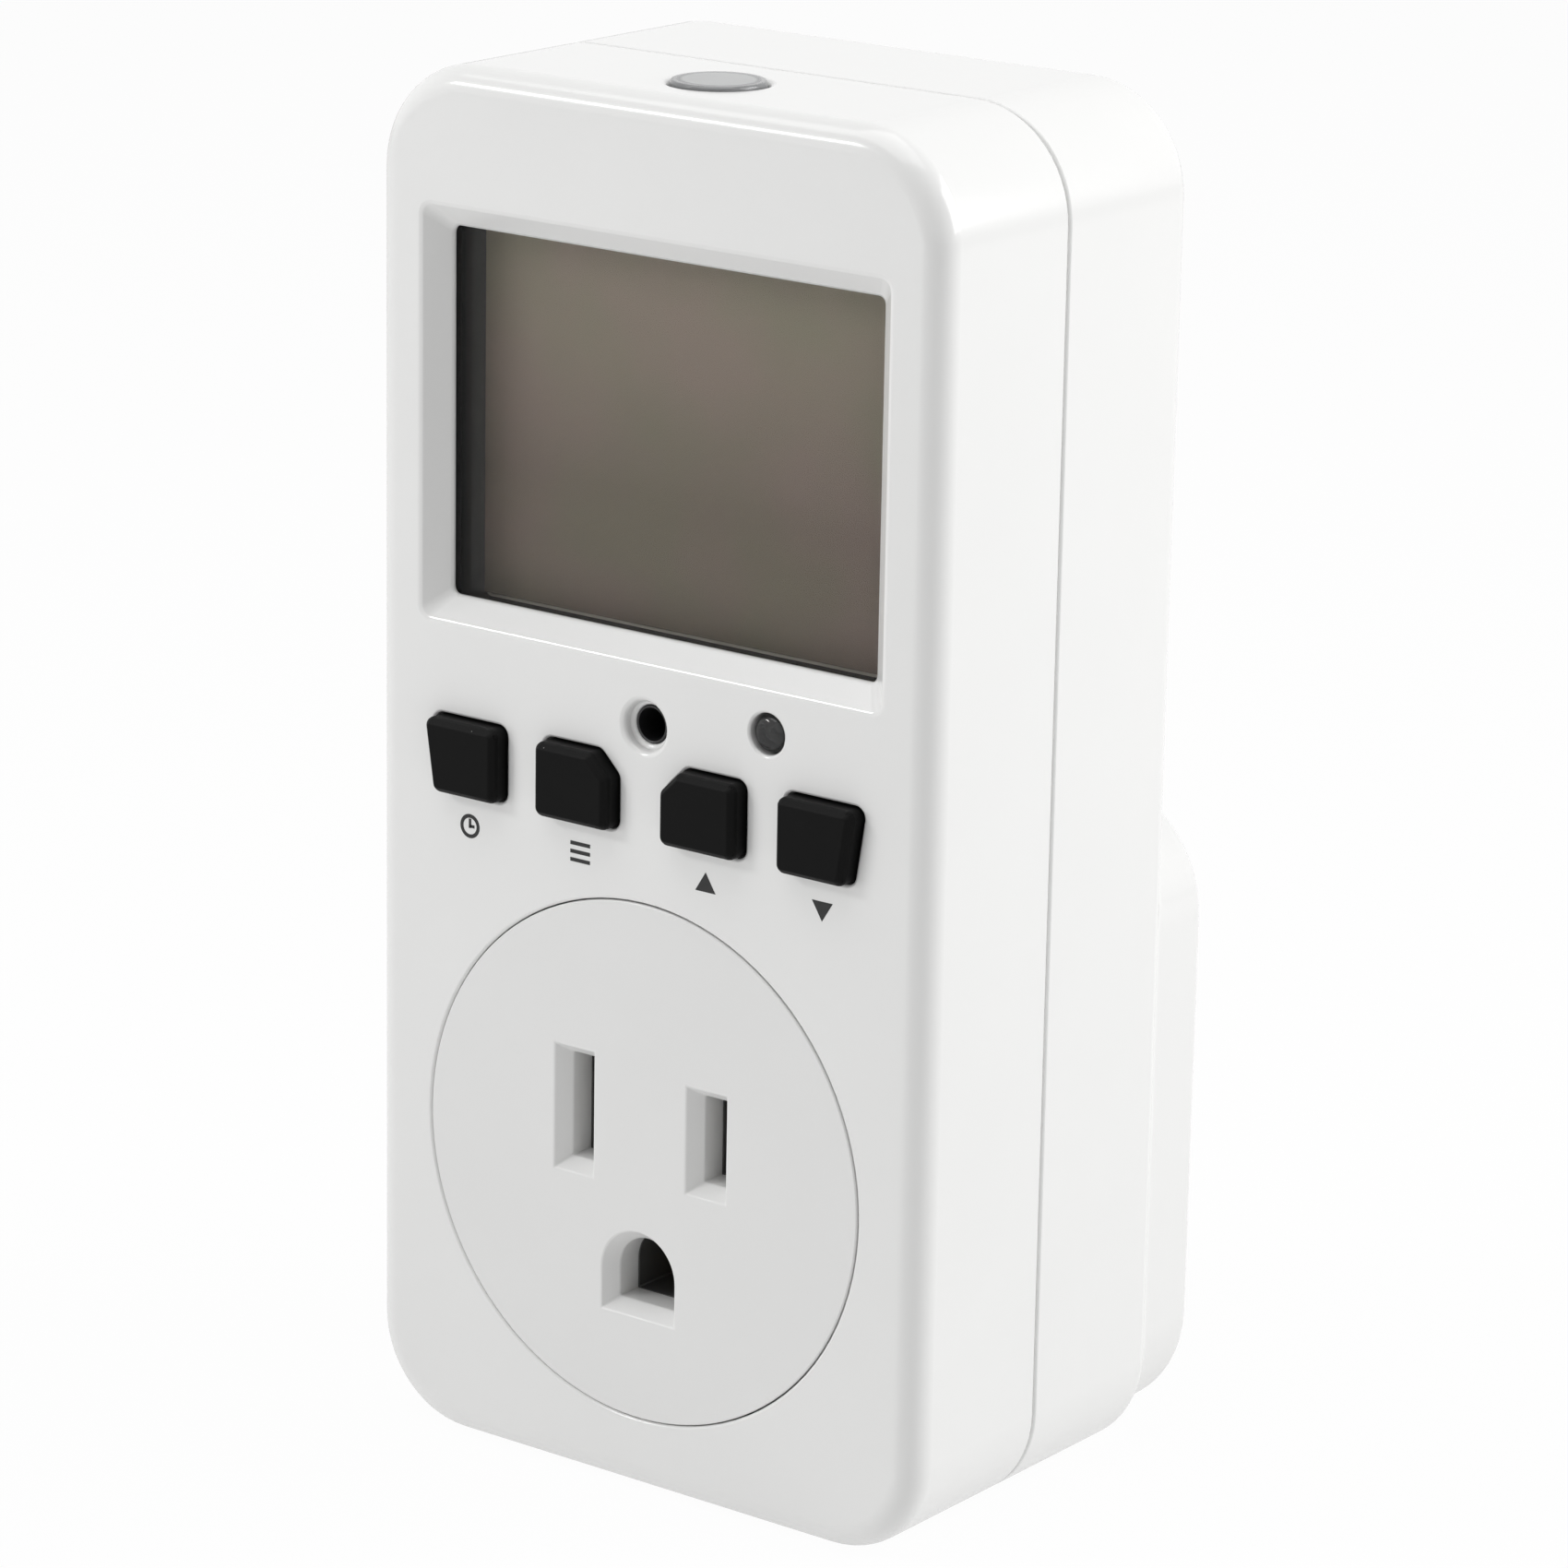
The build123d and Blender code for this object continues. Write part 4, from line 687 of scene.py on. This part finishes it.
# ------------------------------------------------------------------------------------------------
# Probe jack. A black moulded body soldered to the board, its round nose in the bevelled hole of
# the case, with a sprung nickel sleeve inside that grips the probe's plug.
dress("jack_body", "probe_jack", black_plastic, 0.08 * mm)
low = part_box("probe_jack")[0]
axis_height, sleeve_outer, sleeve_inner = 2.0 * mm, 1.24 * mm, 1.12 * mm
sleeve_front, sleeve_back = 4.1 * mm, 8.7 * mm
sleeve = turned_piece([(sleeve_inner, -sleeve_back), (sleeve_inner, -sleeve_front),
                       (sleeve_outer, -sleeve_front), (sleeve_outer, -sleeve_back),
                       (sleeve_inner, -sleeve_back)])
sleeve.transform(Matrix.Translation((0, low.y, low.z + axis_height))
                 @ Matrix.Rotation(pi / 2, 4, "X"))
fit("jack_sleeve", sleeve, nickel_brass)


# ------------------------------------------------------------------------------------------------
# Night light. A disc of acrylic frosted on its inner face, pushed up through the top wall until
# its flange seats, over a small lamp that stands on the board.

# Frosting gives a soft milky grey; the darker ring near the edge is painted shade for the dark hole
# seen through the clear rim.
frosted_acrylic, tree, surface, place = new_finish("frosted acrylic", {"IOR": 1.49})
low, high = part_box("night_light_lens")
centred = add_node(tree, "ShaderNodeMapping",
                   values={"Location": (-(low.x + high.x) / 2, -(low.y + high.y) / 2, 0),
                           "Scale": (1, 1, 0)}, links={"Vector": place})
from_axis = add_node(tree, "ShaderNodeVectorMath", {"operation": "LENGTH"},
                     links={0: centred.outputs["Vector"]})
frost_radius, rim_radius, ring_width = 2.9 * mm, 3.2 * mm, 0.25 * mm
milky, gloss, painted_shade_ring = [
    add_node(tree, "ShaderNodeMapRange",
             values={"From Min": start, "From Max": end, "To Min": inside, "To Max": outside},
             links={"Value": from_axis.outputs["Value"]})
    for start, end, inside, outside in ((frost_radius, rim_radius, 0.2, 0.3),
                                        (frost_radius, rim_radius, 0.4, 0.12),
                                        (frost_radius - ring_width, frost_radius, 0.0, 1.0))]
haze = add_node(tree, "ShaderNodeTexNoise", values={"Scale": 1 / (2.5 * mm), "Detail": 3},
                links={"Vector": place})
cloud = add_node(tree, "ShaderNodeMix", {"data_type": "RGBA"},
                 {6: linear("#c3c4c4"), 7: linear("#b6b7b7")}, {0: haze.outputs["Fac"]})
# Painted shade: a darker grey from just inside the frosted edge outwards.
shade = add_node(tree, "ShaderNodeMix", {"data_type": "RGBA"}, {7: linear("#929394")},
                 {0: painted_shade_ring.outputs["Result"], 6: cloud.outputs[2]})
feed(surface, {"Base Color": shade.outputs[2], "Roughness": gloss.outputs["Result"],
               "Transmission Weight": milky.outputs["Result"]})
grained(tree, surface, place, 0.15 * mm, 3, 0.5, 0.01 * mm)
dress("night_lens", "night_light_lens", frosted_acrylic)
dress("night_bulb", "night_light_led", clear_epoxy)


# ------------------------------------------------------------------------------------------------
# Control board. Glass epoxy laminate, etched and covered with green solder resist, with the
# gold-flashed key pads on its front. Four screws hold it to posts in the front half.

# The resist gives a deep glossy green through which the weave of the glass just shows.
green_board, tree, surface, place = new_finish("green solder resist on glass epoxy",
                                               {"Roughness": 0.35, "IOR": 1.55})
warp, weft = [add_node(tree, "ShaderNodeTexWave", {"wave_type": "BANDS", "bands_direction": way},
                       {"Scale": 1 / (2.4 * mm), "Distortion": 0.4}, {"Vector": place})
              for way in ("X", "Z")]
cloth = add_node(tree, "ShaderNodeMath", {"operation": "MULTIPLY"},
                 links={0: warp.outputs["Fac"], 1: weft.outputs["Fac"]})
shade = add_node(tree, "ShaderNodeMix", {"data_type": "RGBA"},
                 {6: linear("#12552c"), 7: linear("#1b6b3a")}, {0: cloth.outputs["Value"]})
bump = add_node(tree, "ShaderNodeBump", values={"Strength": 0.4, "Distance": 0.01 * mm},
                links={"Height": cloth.outputs["Value"]})
feed(surface, {"Base Color": shade.outputs[2], "Normal": bump.outputs["Normal"]})
dress("control_laminate", "control_board", green_board, 0.06 * mm)

# The gold flash gives an even bright yellow.
gold = rolled("copper pads gold flashed", "#e6c372", "#d8b05c", 0.28, (1, 1, 1))
board_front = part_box("control_board")[0].y
reach, pad_height, finger_half = 1.76 * mm, 0.03 * mm, 0.175 * mm
finger_count, finger_gap = 6, 0.7 * mm
finger = brick((-reach, -pad_height, -finger_half), (reach, 0, finger_half))
first_z = key_z - (finger_count - 1) / 2 * finger_gap
fingers = [in_a_run(finger, finger_count, (spot, board_front, first_z), (0.0, 0.0, finger_gap),
                    gold) for spot in spots]
fit("key_pads", joined("key pads", *fingers), gold)


# ------------------------------------------------------------------------------------------------
# Controller chip. Black epoxy, transfer moulded over a tinned lead frame. Its legs step down to
# the board on all four sides and are soldered there.

# The epoxy gives a dull charcoal with the even grain of a blasted tool.
chip_epoxy = moulded("black epoxy transfer moulded", "#18181a", "#202022", 0.55, 0.2 * mm,
                     0.012 * mm, 1.55)
low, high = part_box("controller_chip")
middle, chip_half, stand_off = (low + high) / 2, 5.0 * mm, 0.15 * mm
body = brick((middle.x - chip_half, low.y + stand_off, middle.z - chip_half),
             (middle.x + chip_half, high.y, middle.z + chip_half))
fit("chip_body", softened(body, 0.2 * mm), chip_epoxy,
    stands_for=["controller_chip"])
leg_pitch, leg_count, leg_half, thick = 1.0 * mm, 8, 0.22 * mm, 0.2 * mm
leg_root, leg_height, leg_reach = chip_half - 0.1 * mm, 0.6 * mm, 6.0 * mm
knee = chip_half + 0.5 * mm
leg = joined("leg", *[brick((x0, y0, -leg_half), (x1, y1, leg_half)) for x0, y0, x1, y1 in (
    (leg_root, leg_height, knee, leg_height + thick),
    (knee - thick, 0, knee, leg_height + thick),
    (knee - thick, 0, leg_reach, thick))])
side = in_a_run(leg, leg_count, (0.0, 0.0, -leg_pitch * (leg_count - 1) / 2),
                (0.0, 0.0, leg_pitch), iron_plate)
legs = [side.copy() for quarter in range(4)]
for quarter, side in enumerate(legs):
    side.transform(Matrix.Translation((middle.x, low.y, middle.z))
                   @ Matrix.Rotation(quarter * pi / 2, 4, "Y"))
fit("chip_legs", joined("legs", *legs), iron_plate)


# ------------------------------------------------------------------------------------------------
# Clock crystal, back-up cell and its clip. The crystal's can is drawn and tin plated, the cell is
# crimped from nickel-plated sheet, and the clip is a punched strip of tinned spring steel.
dress("crystal_can", "clock_crystal", iron_plate)
dress("coin_cell", "backup_cell", nickel_brass)
dress("cell_clip", "battery_clip", iron_plate, 0.08 * mm)


# ------------------------------------------------------------------------------------------------
# Board link. Square tinned pins in a black moulded strip at each board, on the usual 2.54 mm
# spacing. Each strip is notched between its pins.
low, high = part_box("board_link")
middle_z = (low.z + high.z) / 2
pin_count, pin_half, strip_deep, notch = 6, 0.32 * mm, 2.5 * mm, 0.3 * mm
pin_pitch = (high.x - low.x) / pin_count
inset_y, inset_z = 0.2 * mm, 0.3 * mm
for name, start, nodes in (("front", low.y, ["board_link"]), ("rear", high.y - strip_deep, ())):
    end = start + strip_deep
    cell = softened(brick((notch / 2, start, low.z), (pin_pitch - notch / 2, end, high.z)),
                    0.2 * mm)
    bridge = brick((0, start + inset_y, low.z + inset_z),
                   (pin_pitch, end - inset_y, high.z - inset_z))
    cells = in_a_run(joined("cell", cell, bridge), pin_count, (low.x, 0.0, 0.0),
                     (pin_pitch, 0.0, 0.0), black_plastic)
    fit(f"link_strip_{name}", cells, black_plastic, stands_for=nodes)
pin = softened(brick((-pin_half, low.y, middle_z - pin_half),
                     (pin_half, high.y, middle_z + pin_half)), 0.1 * mm)
pins = in_a_run(pin, pin_count, (low.x + pin_pitch / 2, 0.0, 0.0), (pin_pitch, 0.0, 0.0),
                iron_plate)
fit("link_pins", pins, iron_plate)


# ------------------------------------------------------------------------------------------------
# Power board. Paper phenolic laminate, punched, bare on the side of the parts, with domes of
# solder on its rear face. Four screws hold it to standoffs in the rear half.

# The paper gives a tan mottled with darker fibres, all in one direction.
tan_board, tree, surface, place = new_finish("paper phenolic laminate",
                                             {"Roughness": 0.5, "IOR": 1.5})
fibre = add_node(tree, "ShaderNodeMapping", values={"Scale": (1, 1, 0.2)},
                 links={"Vector": place})
paper = add_node(tree, "ShaderNodeTexNoise", values={"Scale": 1 / (0.6 * mm), "Detail": 5},
                 links={"Vector": fibre.outputs["Vector"]})
shade = add_node(tree, "ShaderNodeMix", {"data_type": "RGBA"},
                 {6: linear("#b07f3f"), 7: linear("#8f6229")}, {0: paper.outputs["Fac"]})
bump = add_node(tree, "ShaderNodeBump", values={"Strength": 0.4, "Distance": 0.01 * mm},
                links={"Height": paper.outputs["Fac"]})
feed(surface, {"Base Color": shade.outputs[2], "Normal": bump.outputs["Normal"]})
dress("power_laminate", "power_board", tan_board, 0.06 * mm)

# Solder gives bright silvery domes, clouded where they cooled last.
solder = two_shades("tin solder wave soldered", {"Metallic": 1.0}, "#d0d0ce", "#aaaaa9",
                    0.5 * mm, 3, (0.2, 0.42))[0]
dome_radius, dome_height = 0.9 * mm, 0.6 * mm
quarter_arc = [at * pi / 12 for at in range(7)]
dome = turned_piece([(0, 0)] + [(dome_radius * cos(turn), dome_height * sin(turn))
                                for turn in quarter_arc], 16)
dome.transform(Matrix.Rotation(-pi / 2, 4, "X"))
board_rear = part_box("power_board")[1].y
domes = []
for node, count, spread in (("board_link", pin_count, 1 / pin_count), ("relay_base", 2, 0.7),
                            ("film_capacitor", 2, 0.7), ("rectifier", 2, 0.7)):
    low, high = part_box(node)
    step = (high.x - low.x) * spread
    start = (low.x + high.x) / 2 - step * (count - 1) / 2
    domes.append(in_a_run(dome, count, (start, board_rear, (low.z + high.z) / 2),
                          (step, 0.0, 0.0), solder))
fit("solder_domes", joined("solder", *domes), solder)


# ------------------------------------------------------------------------------------------------
# Relay. A moulded base and thin cover, a soft-iron yoke with the core through a bobbin of enamelled
# copper wire, and a flap with a brass spring strip that rocks on the yoke's edge.
for name, node, finish, slot, edge, body in (
        ("relay_foot", "relay_base", black_plastic, "black_plastic", 0.1 * mm, "case"),
        ("relay_lid", "relay_cover", black_plastic, "black_plastic", 0.1 * mm, "case"),
        ("relay_frame", "relay_yoke", iron_plate, "iron_plate", 0.08 * mm, "case"),
        ("relay_spool", "relay_bobbin", natural_pbt, "natural_pbt", 0.08 * mm, "case"),
        ("relay_flap", "relay_armature", iron_plate, "iron_plate", 0.05 * mm, "armature"),
        ("relay_strip", "relay_spring", brass_sheet, "brass_sheet", 0.05 * mm, "armature"),
        ("relay_anvil", "relay_fixed_contact", brass_sheet, "brass_sheet", 0.05 * mm, "case")):
    dress(name, node, finish, edge, body)

# The enamel gives a red-brown copper under a clear gloss.
copper_wire = two_shades("copper wire enamelled",
                         {"Metallic": 1.0, "Coat Weight": 0.6, "Coat Roughness": 0.1},
                         "#b5572a", "#8e3d19", 1.5 * mm, 3, (0.22, 0.34))[0]
low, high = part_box("relay_coil")
coil_outer, coil_bore, coil_length = (high.x - low.x) / 2, 2.85 * mm, high.y - low.y
wire_half = 0.13 * mm               # coarser than the real wire, so that the turns show
core_radius = coil_outer - 1.4 * wire_half
core = turned_piece([(coil_bore, 0), (core_radius, 0), (core_radius, coil_length),
                     (coil_bore, coil_length), (coil_bore, 0)])
turns = wound(coil_length / (2 * wire_half) - 1, coil_outer - wire_half,
              coil_length - 2 * wire_half, wire_half, 20, 6, copper_wire)
turns.transform(Matrix.Translation((0, 0, wire_half)))
coil = joined("coil", core, turns)
coil.transform(Matrix.Translation(((low.x + high.x) / 2, low.y, (low.z + high.z) / 2))
               @ Matrix.Rotation(-pi / 2, 4, "X"))
fit("relay_winding", coil, copper_wire, stands_for=["relay_coil"])


# ------------------------------------------------------------------------------------------------
# The other parts on the power board, soldered through it. A film capacitor potted in a box, an
# electrolytic can in a shrunk sleeve, a varistor dipped in epoxy, a capped fuse and a rectifier.

# The box gives a clean amber yellow, the dip a glossy blue with orange-peel, and the sleeve a
# glossy black.
yellow_pbt = moulded("yellow PBT box", "#d8a21c", "#c8930f", 0.35, 0.3 * mm, 0.006 * mm, 1.57)
blue_epoxy = moulded("blue epoxy dipped", "#1f4f96", "#194384", 0.25, 0.8 * mm, 0.02 * mm, 1.55)
black_sleeve = moulded("black sleeve shrunk", "#141416", "#1c1c20", 0.3, 0.5 * mm, 0.01 * mm,
                       1.53)
for name, node, finish, slot in (
        ("film_box", "film_capacitor", yellow_pbt, "yellow_pbt"),
        ("electrolytic_can", "filter_capacitor", black_sleeve, "black_sleeve"),
        ("varistor_disc", "surge_varistor", blue_epoxy, "blue_epoxy"),
        ("fuse_cap", "fuse", black_plastic, "black_plastic"),
        ("bridge_block", "rectifier", chip_epoxy, "black_plastic")):
    dress(name, node, finish, 0.05 * mm)


# ------------------------------------------------------------------------------------------------
# Floor. A plain pale translucent sheet, lit a little from below, that the timer stands on. It is
# wide enough to be the whole background.

# The sheet gives an even white with a trace of soft shadow.
pale_sheet, tree, surface, _ = new_finish(
    "pale studio sheet", {"Base Color": linear("#e4e4e4"), "Roughness": 0.9,
                          "Specular IOR Level": 0.1})
path = add_node(tree, "ShaderNodeLightPath")
direct = add_node(tree, "ShaderNodeMath", {"operation": "MAXIMUM"},
                  links={0: path.outputs["Is Camera Ray"], 1: path.outputs["Is Transmission Ray"]})
paleness = add_node(tree, "ShaderNodeMapRange", values={"To Min": 0.5, "To Max": 0.96},
                    links={"Value": direct.outputs["Value"]})
glow = add_node(tree, "ShaderNodeEmission", values={"Color": (1, 1, 1, 1), "Strength": 1.0})
mixed = add_node(tree, "ShaderNodeMixShader",
                 links={0: paleness.outputs["Result"], 1: surface.outputs["BSDF"],
                        2: glow.outputs["Emission"]})
feed(tree.nodes["Material Output"], {"Surface": mixed.outputs["Shader"]})
floor_half = 4.0
grid = bmesh.new()
bmesh.ops.create_grid(grid, x_segments=1, y_segments=1, size=floor_half,
                      matrix=Matrix.Translation((0, 0, cad_box[0].z)))
floor = put("floor", as_mesh("floor", grid))
floor.data.materials.append(pale_sheet)


# ------------------------------------------------------------------------------------------------
# Studio light. The sheet, a dim pale room and large soft boxes above and behind give the level, and
# a narrow soft box in front to the left draws the bright lines. A dull card low in front fills the
# lower faces, and isn't seen mirrored in them.
room = bpy.data.worlds.new("pale room")
bpy.context.scene.world = room
room.use_nodes = True
tree = room.node_tree
backing = tree.nodes["Background"]
path = add_node(tree, "ShaderNodeLightPath")
direct = path.outputs["Is Camera Ray"]
for kind in ("Is Glossy Ray", "Is Transmission Ray"):
    direct = add_node(tree, "ShaderNodeMath", {"operation": "MAXIMUM"},
                      links={0: direct, 1: path.outputs[kind]}).outputs["Value"]
room_level = 0.2
level = add_node(tree, "ShaderNodeMapRange", values={"To Min": room_level, "To Max": 1.0},
                 links={"Value": direct})
feed(backing, {"Strength": level.outputs["Result"]})
backing.inputs["Color"].default_value = (1, 1, 1, 1)


def soft_box(name, toward, away, width, height, power, mirrored=True):
    """Soft light of some watts at some distance from the timer's middle, facing it."""
    lamp = bpy.data.lights.new(name, "AREA")
    lamp.shape = "RECTANGLE"
    lamp.size, lamp.size_y = width, height
    lamp.energy = power
    aim = (cad_box[0] + cad_box[1]) / 2
    box = put(name, lamp)
    box.location = aim + Vector(toward).normalized() * away
    box.visible_glossy = mirrored
    box.rotation_mode = "QUATERNION"
    box.rotation_quaternion = (box.location - aim).to_track_quat("Z", "Y")


soft_box("soft box left", (-0.58, -0.63, 0.51), 0.7, 0.2, 0.04, 0.95)
soft_box("low card left", (-0.6, -0.8, 0.08), 0.7, 0.4, 0.1, 1.05, mirrored=False)
soft_box("soft box above", (-0.1, -0.15, 1.0), 0.6, 0.6, 0.6, 2.15)
soft_box("soft box behind", (0.78, 0.47, 0.45), 0.6, 0.4, 0.4, 2.85)


# ------------------------------------------------------------------------------------------------
# Camera. It stands to the right of the timer and a little above it, with a long lens.
azimuth, elevation, roll = radians(37.10), radians(16.02), radians(1.029)
target, distance = Vector((13.053, -36.7, 29.377)) * mm, 450.68 * mm
back = Vector((sin(azimuth) * cos(elevation), -cos(azimuth) * cos(elevation), sin(elevation)))
right = Vector((0, 0, 1)).cross(back).normalized()
up = back.cross(right)
rolled_right = cos(roll) * right + sin(roll) * up
rolled_up = cos(roll) * up - sin(roll) * right
camera = put("camera", bpy.data.cameras.new("camera"))
camera.data.lens, camera.data.sensor_width = 142.31, 36.0
camera.data.clip_start = 0.01
camera.matrix_world = Matrix.Translation(target + distance * back) @ Matrix(
    (rolled_right, rolled_up, back)).transposed().to_4x4()
bpy.context.scene.camera = camera
bpy.context.scene.view_settings.view_transform = "Standard"
